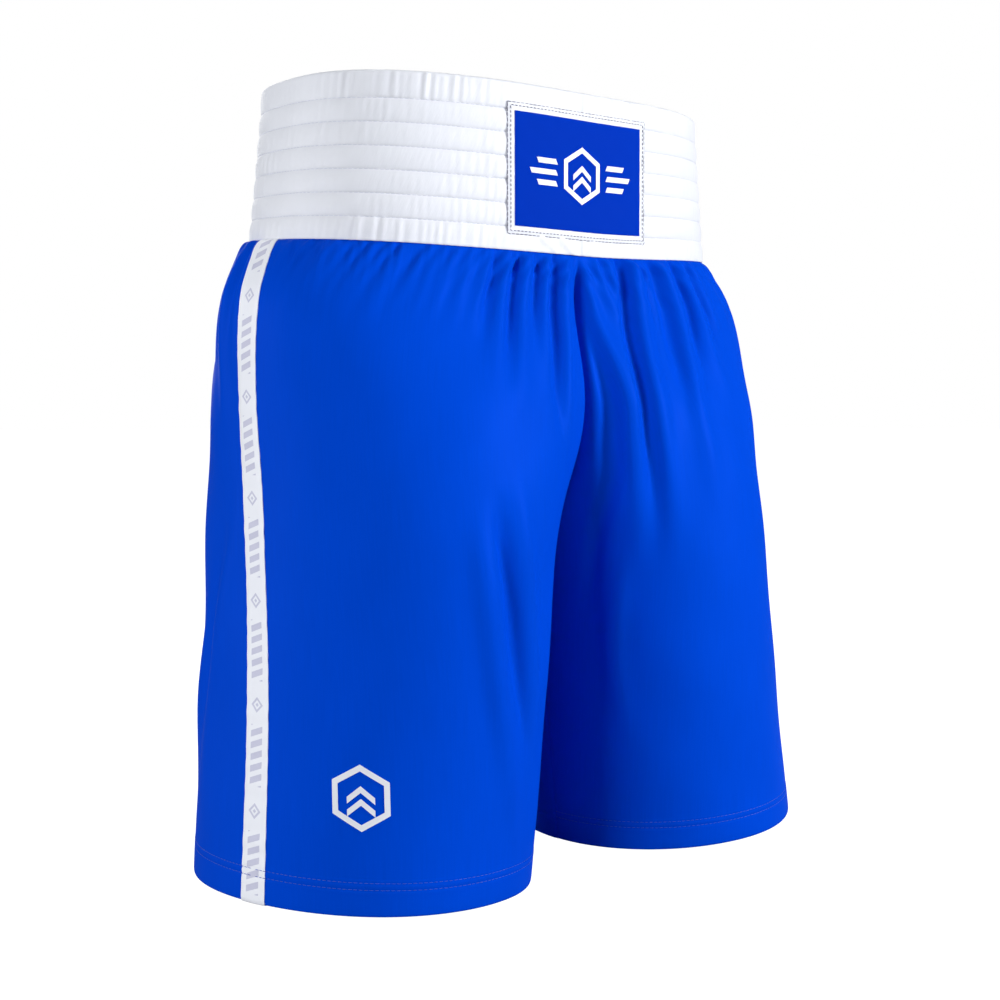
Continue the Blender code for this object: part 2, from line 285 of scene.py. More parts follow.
def smooth_curve(knots, values, at):
    """Values on a smooth curve through the knots. It runs on in the direction of its ends."""
    knots, last = np.asarray(knots, float), len(knots) - 1
    low = np.clip(np.searchsorted(knots, at, side="right") - 1, 0, last - 1)
    before, after = np.maximum(low - 1, 0), np.minimum(low + 2, last)
    span = knots[low + 1] - knots[low]
    t = (at - knots[low]) / span
    read = []
    for column in np.atleast_2d(values):
        slope_in = (column[low + 1] - column[before]) / (knots[low + 1] - knots[before]) * span
        slope_out = (column[after] - column[low]) / (knots[after] - knots[low]) * span
        rise = column[low + 1] - column[low]
        cubic = slope_in + slope_out - 2 * rise
        read.append(column[low] + t * (slope_in + t * (3 * rise - 2 * slope_in - slope_out + t * cubic)))
    return read


def station(drop):
    """The section's values at each drop below the band."""
    return smooth_curve(STATIONS[:, 0], STATIONS.T[1:], drop)


def leg_point(drop, angle, lift=0.0):
    """Points of the right leg's outer surface. Angle 180 is the side seam and -90 the front."""
    drop, angle = np.broadcast_arrays(np.asarray(drop, float), np.asarray(angle, float))
    out, back, half_width, half_depth, turn, squareness = station(drop)
    across, along = oval(half_width + lift, half_depth + lift, squareness, angle)
    cosine, sine = np.cos(np.radians(turn)), np.sin(np.radians(turn))
    low = np.maximum(drop, 0.0) / LEG_DROP
    rise = (1 - low) * EDGE_SLOPE * along + low * (HEM_RISE_BACK * along - HEM_RISE_OUT * across)
    return np.stack(
        (
            across * cosine - along * sine - out,
            across * sine + along * cosine + back,
            rise - BAND_HEIGHT - drop,
        ),
        -1
    )


def band_point(down, angle, inset=0.0):
    """Points of the waistband's outer surface, down from the rim, moved inwards by inset."""
    down, angle = np.broadcast_arrays(np.asarray(down, float), np.asarray(angle, float))
    low = down / BAND_HEIGHT
    half_width = RIM_HALF_WIDTH + (EDGE_HALF_WIDTH - RIM_HALF_WIDTH) * low
    across, along = oval(half_width - inset, BAND_HALF_DEPTH - inset, BAND_SQUARENESS, angle)
    slope = RIM_SLOPE + (EDGE_SLOPE - RIM_SLOPE) * low
    return np.stack((across, along + BAND_BACK, slope * along - down), -1)


def halve(reach, low, high):
    """The values between low and high where reach turns from negative to positive."""
    low, high = np.broadcast_arrays(low, high)
    low, high = low.astype(float), high.astype(float)
    for _ in range(40):
        middle = (low + high) / 2
        below = reach(middle) < 0
        low, high = np.where(below, middle, low), np.where(below, high, middle)
    return (low + high) / 2


def inseam_angle(drop):
    """The innermost angle of each section."""
    low, high = np.full(drop.shape, -math.pi / 2), np.full(drop.shape, math.pi / 2)
    for _ in range(60):
        third = (high - low) / 3
        nearer = leg_point(drop, low + third)[..., 0] < leg_point(drop, high - third)[..., 0]
        low, high = np.where(nearer, low + third, low), np.where(nearer, high, high - third)
    return (low + high) / 2


CROTCH_DROP = float(halve(lambda drop: -leg_point(drop, inseam_angle(drop))[..., 0] - SEAM_GAP, 0.10, 0.30))


def centre_angle(drop, face):
    """Where a panel ends at the centre: the centre plane above the crotch, and the inseam below it."""
    inseam = inseam_angle(drop)
    start = np.full(drop.shape, face * 0.65 * math.pi)
    crossing = halve(lambda angle: leg_point(drop, angle)[..., 0] + SEAM_GAP, start, inseam)
    return np.where(drop < CROTCH_DROP, crossing, inseam + face * 0.5 * SEAM_GAP / station(drop)[3])


def even_shares(points, shares, *others):
    """Other values along rows of points, at even shares of each row's length, then its distances."""
    steps = np.linalg.norm(np.diff(points, axis=1), axis=2)
    length = np.concatenate((np.zeros((len(points), 1)), np.cumsum(steps, axis=1)), axis=1)
    wanted = shares[None, :] * length[:, -1:]
    return *(np.array([np.interp(*row) for row in zip(wanted, length, grid)]) for grid in others), wanted


def unit(vectors):
    return vectors / np.maximum(np.linalg.norm(vectors, axis=-1, keepdims=True), 1e-12)


def smooth_step(value, low, high):
    t = np.clip((value - low) / (high - low), 0.0, 1.0)
    return t * t * (3 - 2 * t)


def wander(seed, values, pitch, count=6):
    """A smooth random curve of about unit height, with waves near the pitch."""
    draw = np.random.default_rng(seed)
    total = np.zeros_like(values, dtype=float)
    for _ in range(count):
        total += np.sin(
            values * 2 * math.pi / (pitch * draw.uniform(0.7, 1.5)) + draw.uniform(0, 2 * math.pi)
        )
    return total / math.sqrt(count)


# Cloth of the legs --------------------------------------------------------------------------------


class Panel:
    """One leg panel's cloth surface: a fine grid of points with its normals, that trims can be laid on.

    Places on it are read by the distance from the side seam along the section, and the drop below the band.
    """

    COLUMNS = 150
    ROWS = 256
    DEEPEST = 6.0 * MM
    LEVEL_ENDS = 0.03
    PAST_INSEAM = 0.35
    built = {}

    def __init__(self, side, face, gather):
        self.side, self.face, self.sign, self.gather = side, face, FACES[face], gather
        self.table_drops = np.linspace(0.0, LEG_DROP, 401)
        self.turns = (math.pi + self.PAST_INSEAM) * (1 - np.cos(np.linspace(0, math.pi, 900))) / 2
        sections = leg_point(self.table_drops[:, None], self.angle(self.turns)[None, :])
        steps = np.linalg.norm(np.diff(sections, axis=1), axis=2)
        self.runs = np.concatenate((np.zeros((len(sections), 1)), np.cumsum(steps, axis=1)), axis=1)
        self.distances = np.linspace(0.0, 0.33, 661)
        self.turn_table = np.array([np.interp(self.distances, run, self.turns) for run in self.runs])
        seam_turns = math.pi - self.sign * centre_angle(self.table_drops, self.sign)
        self.seam = np.array([np.interp(*row) for row in zip(seam_turns, [self.turns] * 401, self.runs)])
        self.lay_grid()
        Panel.built[side, face] = self

    def angle(self, turn):
        """The section's angle at a turn from the side seam."""
        return self.sign * (math.pi - turn)

    def lay_grid(self):
        """Lays rows that are level at the band and hem, and bend up between to where the seam turns."""
        near_crotch = CROTCH_DROP - 0.03 * np.linspace(0, 1, 900) ** 2
        drop = np.unique(np.concatenate((np.linspace(0.0, LEG_DROP, 2400), near_crotch)))
        angle = centre_angle(drop, self.sign)
        angle -= np.where(drop < CROTCH_DROP, 0.0, self.sign * SEAM_GAP / station(drop)[3])
        moved = np.concatenate(([0.0], np.linalg.norm(np.diff(leg_point(drop, angle), axis=0), axis=1)))
        crowd = (
            1.3 * np.exp(-((drop / 0.012) ** 2)) + 1.6 * smooth_step(drop, LEG_DROP - 0.026, LEG_DROP - 0.022)
        )
        run, even = np.cumsum(moved), np.cumsum(moved * (1 + crowd))
        rows = np.interp(np.linspace(0.0, even[-1], self.ROWS), even, run)
        at_seam, angle = np.interp(rows, run, drop), np.interp(rows, run, angle)
        ends = (self.LEVEL_ENDS, LEG_DROP - self.LEVEL_ENDS)
        between = np.interp(rows, np.interp(ends, drop, run), ends)
        at_side = np.where((at_seam > ends[0]) & (at_seam < ends[1]), between, at_seam)
        share = (1 - np.cos(np.linspace(0, math.pi, 500)))[None, :] / 2
        turns = (math.pi - self.sign * angle)[:, None] * share
        drops = at_side[:, None] + (at_seam - at_side)[:, None] * share**2.5
        left = np.linspace(1.0, 0.0, self.COLUMNS + 1)
        columns = 1 - left * (1 - 0.7 * np.exp(-left / 0.08))
        turns, self.drops, along = even_shares(leg_point(drops, self.angle(turns)), columns, turns, drops)
        self.across = along[:, -1:] - along
        self.from_side = self.look_up(self.runs, self.turns, turns, self.drops)
        base, normal = self.bare(turns, self.drops)
        base[:, -1, 0] = np.where(at_seam < CROTCH_DROP, SEAM_GAP, base[:, -1, 0])
        flat = normal * (0, 1, 1)
        near = (
            np.exp(-((self.across / (8 * MM)) ** 2))
            * (1 - smooth_step(at_seam, CROTCH_DROP, CROTCH_DROP + 0.02))[:, None]
        )
        direction = unit(normal * (1 - near[..., None]) + flat * near[..., None])
        lift = self.cloth_lift(self.from_side, self.drops, self.across)
        self.points = self.facing(base + direction * lift[..., None])
        self.hem_normals = self.surface(self.from_side[-1], LEG_DROP)[1]
        self.band_normals = self.facing(normal[0])

    def facing(self, vectors):
        """Vectors for this side: the right leg's, or their mirror image."""
        return vectors * (-1, 1, 1) if self.side == "left" else vectors

    def look_up(self, table, knots, value, drop):
        """Values of a table with even drops, between its knots."""
        value, drop = np.broadcast_arrays(value, drop)
        row = np.clip(drop / LEG_DROP * 400, 0, 400 - 1e-6)
        low_row = row.astype(int)
        column = np.clip(np.interp(value, knots, np.arange(len(knots))), 0, len(knots) - 1.000001)
        low = column.astype(int)
        down, over = row - low_row, column - low
        upper = table[low_row, low] * (1 - over) + table[low_row, low + 1] * over
        lower = table[low_row + 1, low] * (1 - over) + table[low_row + 1, low + 1] * over
        return upper * (1 - down) + lower * down

    def bare(self, turns, drops):
        """Points of the smooth section and its outward normals, on the right leg."""
        tiny = 1e-4
        angle = self.angle(turns)
        around = leg_point(drops, angle + tiny) - leg_point(drops, angle - tiny)
        down = leg_point(drops + tiny, angle) - leg_point(np.maximum(drops - tiny, 0.0), angle)
        return leg_point(drops, angle), unit(np.cross(down, around))

    def surface(self, from_side, drop, rise=0.0):
        """Points and normals of the cloth at distances from the side seam and drops, raised by rise."""

        def lifted(distance, level):
            turns = self.look_up(self.turn_table, self.distances, np.abs(distance), level)
            base, normal = self.bare(turns, level)
            across = np.interp(level, self.table_drops, self.seam) - distance
            return base + normal * self.cloth_lift(distance, level, across)[..., None]

        from_side, drop = np.broadcast_arrays(np.asarray(from_side, float), np.asarray(drop, float))
        near = 0.6 * MM
        start, high = np.maximum(from_side - near, 0.0), np.maximum(drop - near, 0.0)
        around = lifted(from_side + near, drop) - lifted(start, drop)
        down = lifted(from_side, np.minimum(drop + near, LEG_DROP)) - lifted(from_side, high)
        normal = unit(np.cross(around, down)) * self.sign
        points = lifted(from_side, drop) + normal * np.asarray(rise)[..., None]
        return self.facing(points), self.facing(normal)

    def cloth_lift(self, from_side, drop, across):
        """How far the cloth stands out: gathers, long folds, seams drawn in and the hem's ridge."""
        total = np.zeros(np.broadcast(from_side, drop).shape)
        for width, height, *line in (*FOLDS[self.side, self.face], *self.loose_gathers()):
            distances, drops = np.array(line).T * MM
            path = smooth_curve(drops, distances, np.clip(drop, drops[0], drops[-1]))[0]
            t = (drop - drops[0]) / (drops[-1] - drops[0])
            caught = drops[0] < 0.012
            start = 1 - np.exp(-((drop / 0.004) ** 1.2)) if caught else smooth_step(t, -0.15, 0.30)
            fade = start * (1 - smooth_step(t, 0.40, 1.15))
            spread = width * MM * (1 + (0.35 * np.clip(t, 0, 1.2) if caught else 0.0))
            total += height * MM * np.exp(-(((from_side - path) / spread) ** 2)) * fade
        seed = 11 + 2 * (self.side == "left") + 4 * (self.face == "back")
        fine = (
            wander(seed, from_side + 0.02 * np.sin(drop * 25), 0.0105) * 0.45
            + wander(seed + 1, from_side, 0.0065) * 0.3
        )
        total += 0.9 * MM * fine * np.exp(-((drop / 0.018) ** 1.3)) * (1 - np.exp(-drop / 0.002))
        slow = (
            wander(seed + 2, from_side + 0.5 * drop, 0.13, 4)
            * wander(seed + 3, drop + 0.3 * from_side, 0.17, 4)
        )
        total += 0.9 * MM * slow * smooth_step(drop, 0.02, 0.12)
        edge = (1 - np.exp(-((across / (5 * MM)) ** 2))) * (1 - np.exp(-((from_side / 0.012) ** 2)))
        hold = 1 - 0.75 * smooth_step(drop, LEG_DROP - 0.05, LEG_DROP - 0.015)
        total *= self.gather * edge * hold
        total = self.DEEPEST * np.tanh(total / self.DEEPEST)
        total += (
            3.4 * MM * np.exp(-((from_side / 0.06) ** 2)) * (1 - np.exp(-drop / 0.0025))
            * np.exp(-((drop / 0.028) ** 2))
        )
        furrow = (
            CENTRE_FURROW[self.face]
            * (0.55 * np.exp(-((across / 0.0055) ** 2)) + np.exp(-((across / 0.0021) ** 2)))
        )
        total -= furrow * smooth_step(drop, 0.0, 0.03) * (1 - smooth_step(drop, 0.13, CROTCH_DROP - 0.005))
        seam = np.exp(-((across / 0.0013) ** 2)) + np.exp(-((from_side / 0.0013) ** 2))
        total -= 0.5 * MM * seam * (1 - np.exp(-drop / 0.003))
        height = LEG_DROP - drop
        total += 0.25 * MM * (1 - smooth_step(height, 0.0190, 0.0215)) * (1 - np.exp(-height / 0.001))
        for row in HEM_ROWS.values():
            total -= 0.28 * MM * np.exp(-(((height - row) / 0.0007) ** 2))
        return total

    def loose_gathers(self):
        """The back's gathers, spread at random along the band."""
        if self.face == "front":
            return []
        draw = np.random.default_rng(5 if self.side == "right" else 6)
        middles = (np.arange(17) + draw.uniform(0.2, 0.8, 17)) / 17 * 222
        made = []
        for middle in middles:
            reach, lean = draw.uniform(40, 130), draw.uniform(-0.08, 0.16)
            line = [(middle + lean * down * reach, down * reach) for down in (0.0, 0.5, 1.0)]
            made.append((draw.uniform(4.0, 6.0), draw.uniform(0.8, 2.2), *line))
        return made


def leg_read(side, distance, drop, rise=0.0):
    """Points on a leg at distances from its side seam, forwards where negative."""
    distance, drop, rise = np.broadcast_arrays(
        *(np.asarray(value, float) for value in (distance, drop, rise))
    )
    points, normals = np.empty((*distance.shape, 3)), np.empty((*distance.shape, 3))
    for face, sign in FACES.items():
        here = (distance * sign > 0) | ((distance == 0) & (sign > 0))
        points[here], normals[here] = Panel.built[side, face].surface(
            np.abs(distance[here]), drop[here], rise[here]
        )
    return points, normals


# Modelling helpers --------------------------------------------------------------------------------


def begin(add, **settings):
    """Adds a primitive with nothing else selected and returns it."""
    bpy.ops.object.select_all(action="DESELECT")
    add(**settings)
    return bpy.context.object


def edit(obj, *steps):
    """Runs edit-mode steps on all of a piece."""
    bpy.ops.object.select_all(action="DESELECT")
    obj.select_set(True)
    bpy.context.view_layer.objects.active = obj
    bpy.ops.object.mode_set(mode="EDIT")
    bpy.ops.mesh.select_all(action="SELECT")
    for step in steps:
        step()
    bpy.ops.object.mode_set(mode="OBJECT")


def apply(obj, kind, **settings):
    """Adds a modifier with its settings and applies it."""
    bpy.context.view_layer.objects.active = obj
    modifier = obj.modifiers.new(kind.lower(), kind)
    for name, value in settings.items():
        setattr(modifier, name, value)
    bpy.ops.object.modifier_apply(modifier=modifier.name)


def smooth(obj, degrees=60):
    bpy.ops.object.select_all(action="DESELECT")
    obj.select_set(True)
    bpy.context.view_layer.objects.active = obj
    bpy.ops.object.shade_smooth_by_angle(angle=math.radians(degrees))


def cloth(name, points, chart, loop=False, flip=False, thickness=0.0):
    """A sheet of cloth laid on a grid of points, with its chart of distances in metres as the UV map."""
    rows, columns = points.shape[0] - 1, points.shape[1] - 1
    obj = begin(bpy.ops.mesh.primitive_grid_add, x_subdivisions=columns, y_subdivisions=rows, size=1.0)
    obj.name = obj.data.name = name
    mesh = obj.data
    flat = np.empty(len(mesh.vertices) * 3, np.float32)
    mesh.vertices.foreach_get("co", flat)
    flat = flat.reshape(-1, 3)
    column = np.rint((flat[:, 0] + 0.5) * columns).astype(int)
    row = np.rint((0.5 - flat[:, 1]) * rows).astype(int)
    mesh.vertices.foreach_set("co", points[row, column].astype(np.float32).ravel())
    corners = np.empty(len(mesh.loops), np.int32)
    mesh.loops.foreach_get("vertex_index", corners)
    mesh.uv_layers.active.data.foreach_set("uv", chart[row, column][corners].astype(np.float32).ravel())
    mesh.update()
    steps = []
    if loop:
        steps.append(lambda: bpy.ops.mesh.remove_doubles(threshold=1e-6))
    if flip:
        steps.append(bpy.ops.mesh.flip_normals)
    if steps:
        edit(obj, *steps)
    if thickness:
        apply(obj, "SOLIDIFY", thickness=thickness, offset=-1.0)
    smooth(obj)
    return obj


def repeat_shape(name, shape, places):
    """Copies of one small mesh, each turned and set by its 4x4 matrix, as a single piece."""
    mesh = shape.data
    flat = np.empty(len(mesh.vertices) * 3, np.float32)
    mesh.vertices.foreach_get("co", flat)
    corners = np.column_stack((flat.reshape(-1, 3), np.ones(len(mesh.vertices))))
    placed = np.einsum("nij,vj->nvi", places, corners)[..., :3].reshape(-1, 3)
    faces = [list(face.vertices) for face in mesh.polygons]
    count = len(mesh.vertices)
    made = bpy.data.meshes.new(name)
    made.from_pydata(
        placed.tolist(),
        [],
        [[corner + count * k for corner in face] for k in range(len(places)) for face in faces]
    )
    made.shade_smooth()
    obj = bpy.data.objects.new(name, made)
    bpy.context.scene.collection.objects.link(obj)
    return obj


def stitch_shape(length, thickness):
    """One stitch: a short round strand with tapered ends that dip into the cloth."""
    obj = begin(bpy.ops.mesh.primitive_uv_sphere_add, segments=6, ring_count=6, radius=0.5)
    edit(
        obj,
        lambda: bpy.ops.transform.rotate(value=math.pi / 2, orient_axis="Y", center_override=(0, 0, 0)),
        lambda: bpy.ops.transform.resize(value=(length, thickness, thickness)),
    )
    return obj


def sew(name, points, normals, length, gap, thickness):
    """Stitches laid end to end along a closed row of points."""
    path = np.vstack((points, points[:1]))
    out = np.vstack((normals, normals[:1]))
    run = np.concatenate(([0.0], np.cumsum(np.linalg.norm(np.diff(path, axis=0), axis=1))))
    count = int(run[-1] / (length + gap))
    at = (np.arange(count) + 0.5) / count * run[-1]
    half = length / 2

    def read(values, where):
        where = np.mod(where, run[-1])
        return np.stack([np.interp(where, run, values[:, axis]) for axis in range(3)], -1)

    middle, along = read(path, at), unit(read(path, at + half) - read(path, at - half))
    up = read(out, at)
    up = unit(up - along * np.sum(up * along, axis=1, keepdims=True))
    places = np.zeros((count, 4, 4))
    places[:, :3, 0], places[:, :3, 1], places[:, :3, 2] = along, np.cross(up, along), up
    places[:, :3, 3], places[:, 3, 3] = middle, 1.0
    shape = stitch_shape(length, thickness)
    obj = repeat_shape(name, shape, places)
    bpy.data.objects.remove(shape)
    return obj


def lean(obj):
    """The band sits a little higher on the wearer's left."""
    mesh = obj.data
    flat = np.empty(len(mesh.vertices) * 3, np.float32)
    mesh.vertices.foreach_get("co", flat)
    flat = flat.reshape(-1, 3)
    share = np.interp(flat[:, 2], (-0.19, -BAND_HEIGHT, 0.0), (0.0, 1.0, 0.5))
    flat[:, 2] += BAND_LEAN * share * smooth_step(flat[:, 0], 0.0, 0.17)
    mesh.vertices.foreach_set("co", flat.ravel())
    mesh.update()


def place_piece(obj, body, slot, material, *nodes):
    """Gives a piece its finish, its body and the nodes that it stands for."""
    lean(obj)
    obj.data.materials.clear()
    obj.data.materials.append(material)
    if body:
        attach(obj, body)
    if nodes:
        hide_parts(*nodes)


def bend_with_leg(obj):
    """Bakes the piece's placement into its mesh."""
    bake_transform(obj)


# Materials ----------------------------------------------------------------------------------------


class Finish:
    """A procedural material, with short calls for the nodes that it needs."""

    def __init__(self, name, colour, roughness, **sockets):
        self.material = bpy.data.materials.new(name)
        self.material.use_nodes = True
        self.nodes, self.links = self.material.node_tree.nodes, self.material.node_tree.links
        self.shader = self.nodes["Principled BSDF"]
        self.shader.inputs["Base Color"].default_value = (*colour, 1.0)
        self.shader.inputs["Roughness"].default_value = roughness
        for socket, value in sockets.items():
            self.shader.inputs[socket.replace("_", " ")].default_value = value
        self.uv = self.nodes.new("ShaderNodeTexCoord").outputs["UV"]

    def node(self, kind, inputs=None, **settings):
        made = self.nodes.new(f"ShaderNode{kind}")
        for name, value in settings.items():
            setattr(made, name, value)
        for socket, value in (inputs or {}).items():
            if isinstance(value, bpy.types.NodeSocket):
                self.links.new(value, made.inputs[socket])
            else:
                made.inputs[socket].default_value = value
        return made

    def scaled(self, across, along):
        """The chart, counted in threads of that size."""
        return (
            self.node("Mapping", {"Vector": self.uv, "Scale": (1 / across, 1 / along, 1.0)}).outputs["Vector"]
        )

    def maths(self, operation, first, second=0.0, third=0.0):
        return self.node("Math", {0: first, 1: second, 2: third}, operation=operation).outputs[0]

    def noise(self, vector, scale, detail=2.0):
        made = self.node("TexNoise", {"Vector": vector, "Scale": scale, "Detail": detail})
        return made.outputs["Fac"]

    def ramp(self, value, low, high):
        """The value spread from low to high."""
        made = self.node("MapRange", {"Value": value, "To Min": low, "To Max": high})
        return made.outputs["Result"]

    def mix(self, factor, first, second):
        made = self.node("Mix", data_type="RGBA")
        for socket, value in ((0, factor), (6, first), (7, second)):
            if isinstance(value, bpy.types.NodeSocket):
                self.links.new(value, made.inputs[socket])
            elif socket:
                made.inputs[socket].default_value = (*value[:3], 1.0)
            else:
                made.inputs[socket].default_value = value
        return made.outputs[2]

    def bump(self, height, depth, strength=1.0):
        made = self.node("Bump", {"Height": height, "Distance": depth, "Strength": strength})
        self.links.new(made.outputs["Normal"], self.shader.inputs["Normal"])

    def colour(self, value):
        self.links.new(value, self.shader.inputs["Base Color"])

    def rough(self, value):
        self.links.new(value, self.shader.inputs["Roughness"])

    def ribs(self, across, along, twist=0.0):
        """The raised loops of a knit or weave: waves across and along the chart."""
        vector = self.scaled(across, along)
        parts = self.node("SeparateXYZ", {"Vector": vector})
        first = self.maths("SINE", self.maths("MULTIPLY", parts.outputs["X"], 2 * math.pi))
        lean = self.maths("MULTIPLY", parts.outputs["X"], twist)
        second = self.maths(
            "SINE", self.maths("MULTIPLY", self.maths("ADD", parts.outputs["Y"], lean), 2 * math.pi)
        )
        return self.maths("ADD", first, second)


def shade(colour, factor):
    return tuple(min(1.0, channel * factor) for channel in colour)


def knit_finish(name, colour):
    """Satin-faced knit: fine wales, a soft coloured gloss, and slow changes of shade."""
    finish = Finish(name, colour, 0.45, Metallic=0.02, Specular_IOR_Level=0.01)
    finish.shader.inputs["Specular Tint"].default_value = (0.02, 0.22, 1.0, 1.0)
    slow = finish.noise(finish.scaled(0.05, 0.08), 1.0, 3.0)
    streaks = finish.noise(finish.scaled(0.0011, 0.03), 1.0, 2.0)
    grain = finish.noise(finish.scaled(0.0007, 0.0010), 1.0, 1.0)
    tone = finish.maths("ADD", finish.maths("MULTIPLY", slow, 0.5), finish.maths("MULTIPLY", streaks, 0.5))
    finish.colour(finish.mix(finish.ramp(tone, 0.0, 1.0), shade(colour, 0.88), shade(colour, 1.12)))
    finish.rough(finish.ramp(streaks, 0.40, 0.50))
    height = finish.maths("ADD", grain, finish.maths("MULTIPLY", finish.ribs(0.00045, 0.00060, 0.5), 0.12))
    finish.bump(height, 0.00006, 0.35)
    return finish.material


def satin_finish(name, colour):
    """Waistband satin: fine crosswise weave with small uneven puckers."""
    finish = Finish(name, colour, 0.48, Sheen_Weight=0.15, Specular_IOR_Level=0.40)
    slow = finish.noise(finish.scaled(0.02, 0.02), 1.0, 3.0)
    finish.colour(finish.mix(slow, shade(colour, 0.97), shade(colour, 1.03)))
    pucker = finish.noise(finish.scaled(0.0035, 0.012), 1.0, 3.0)
    weave = finish.ribs(0.0006, 0.0006, 0.5)
    height = finish.maths("ADD", finish.maths("MULTIPLY", pucker, 6.0), finish.maths("MULTIPLY", weave, 0.25))
    finish.bump(height, 0.00008, 0.6)
    return finish.material


def thread_finish(name, colour):
    """Twisted sewing thread, darker in the twist's hollows as painted shade."""
    finish = Finish(name, colour, 0.55, Sheen_Weight=0.2)
    where = finish.node("TexCoord").outputs["Object"]
    twist = finish.noise(where, 2500.0, 1.0)
    # Painted shade: the colour darkens where the twist's bump is low.
    finish.colour(finish.mix(twist, shade(colour, 0.85), shade(colour, 1.08)))
    finish.bump(twist, 0.00005, 0.6)
    return finish.material


def elastic_finish(name, colour):
    """Woven elastic: close upright ribs, darker in the grooves between them as painted shade."""
    finish = Finish(name, colour, 0.7)
    ribs = finish.ribs(0.0012, 0.0010)
    # Painted shade: the colour darkens where the ribs' bump is low.
    finish.colour(finish.mix(finish.ramp(ribs, 0.0, 1.0), shade(colour, 0.85), colour))
    finish.bump(ribs, 0.0002, 0.6)
    return finish.material


def woven_patch_finish(name, colour):
    """Close twill weave of the patch's face, darker in the twill's grooves as painted shade."""
    finish = Finish(name, colour, 0.6, Specular_IOR_Level=0.01)
    twill = finish.ribs(0.0008, 0.0008, 1.0)
    # Painted shade: the colour darkens where the twill's bump is low.
    finish.colour(finish.mix(finish.ramp(twill, 0.3, 0.7), shade(colour, 0.93), shade(colour, 1.07)))
    finish.bump(twill, 0.00005, 0.5)
    return finish.material


def print_finish(name, colour):
    """Heat-pressed film that lets the knit show through a little."""
    finish = Finish(name, colour, 0.5)
    finish.bump(finish.noise(finish.node("TexCoord").outputs["Object"], 1800.0, 2.0), 0.00004, 0.5)
    return finish.material


def ribbon_finish(name, white, grey, width):
    """Satin ribbon with a woven grey pattern: a run of slanted bars, then a lozenge between two dots."""
    finish = Finish(name, white, 0.38, Sheen_Weight=0.1)
    parts = finish.node("SeparateXYZ", {"Vector": finish.uv})
    across, along = parts.outputs["X"], parts.outputs["Y"]
    pitch = 0.062
    turn = finish.maths("FRACT", finish.maths("DIVIDE", along, pitch))
    sideways = finish.maths("ABSOLUTE", across)
    inside = finish.maths("LESS_THAN", sideways, 0.26 * width)
    slant = finish.maths("ADD", along, finish.maths("MULTIPLY", across, 0.35))
    bar = finish.maths("LESS_THAN", finish.maths("FRACT", finish.maths("DIVIDE", slant, pitch / 9.0)), 0.55)
    run = finish.maths("LESS_THAN", finish.maths("ABSOLUTE", finish.maths("SUBTRACT", turn, 0.36)), 0.29)
    bars = finish.maths("MULTIPLY", finish.maths("MULTIPLY", bar, inside), run)
    reach = finish.maths("ABSOLUTE", finish.maths("SUBTRACT", turn, 0.84))
    lozenge_edge = finish.maths(
        "ADD", finish.maths("DIVIDE", reach, 0.085), finish.maths("DIVIDE", sideways, 0.30 * width)
    )
    ring = finish.maths("ABSOLUTE", finish.maths("SUBTRACT", lozenge_edge, 0.72))
    lozenge = finish.maths(
        "MAXIMUM", finish.maths("LESS_THAN", ring, 0.17), finish.maths("LESS_THAN", lozenge_edge, 0.25)
    )
    pattern = finish.maths("MAXIMUM", bars, lozenge)
    weave = finish.ribs(0.0005, 0.0005, 0.5)
    soft = finish.maths("MULTIPLY", pattern, finish.ramp(weave, 0.80, 0.95))
    finish.colour(finish.mix(soft, white, grey))
    finish.bump(finish.maths("ADD", weave, finish.maths("MULTIPLY", pattern, 0.8)), 0.00004, 0.5)
    return finish.material


# The share of white in the band's thread; the rest is grey, painted shade for the dark line along each stitch
# row.
THREAD_SHARE_LEFT_UNSHADED = 0.45
FINISHES = {}


def finish_for(name):
    """A material by name, made when it is first asked for."""
    if name not in FINISHES:
        colours = bpy.context.scene.shorts_colours
        blue, white, grey, patch = (
            (tuple(value) for value in (colours.blue, colours.white, colours.grey, colours.patch))
        )
        # The band's white thread, greyed as painted shade of its stitch lines.
        thread = tuple(THREAD_SHARE_LEFT_UNSHADED * a + (1 - THREAD_SHARE_LEFT_UNSHADED) * b for a, b in zip(white, grey))
        tape_width = bpy.context.scene.shorts_sizes.tape_width
        makers = {
            "leg_knit": lambda: knit_finish(name, blue),
            "band_satin": lambda: satin_finish(name, white),
            "thread_white_painted_shade": lambda: thread_finish(name, thread),
            "thread_grey": lambda: thread_finish(name, shade(grey, 0.42)),
            "thread_blue": lambda: thread_finish(name, shade(blue, 0.8)),
            "elastic_weave": lambda: elastic_finish(name, shade(white, 0.9)),
            "patch_weave": lambda: woven_patch_finish(name, patch),
            "patch_satin": lambda: satin_finish(name, white),
            "pressed_white": lambda: print_finish(name, shade(white, 1.05)),
            # The ribbon's white is 1.15 times the band's: painted light for the light its sideways face
            # misses.
            "ribbon_weave": lambda: ribbon_finish(name, shade(white, 1.15), grey, tape_width),
            "label_satin": lambda: satin_finish(name, shade(white, 0.97)),
        }
        FINISHES[name] = makers[name]()
    return FINISHES[name]


# Waistband ----------------------------------------------------------------------------------------


def channel_lines():
    """How far below the rim each stitch line runs; the first channel is the deepest."""
    first = 1.2 * BAND_HEIGHT / (CHANNELS + 0.2)
    return [first + k * (BAND_HEIGHT - first) / (CHANNELS - 1) for k in range(CHANNELS - 1)]


def band_ring(down, inset, columns):
    """One ring of the band at even distances from the centre front, with those distances."""
    spread = np.linspace(-math.pi / 2, 1.5 * math.pi, 3000)
    ring = band_point(down, spread, inset)[None]
    angle, run = even_shares(ring, np.linspace(0.0, 1.0, columns + 1), spread[None])
    return band_point(down, angle[0], inset), run[0]


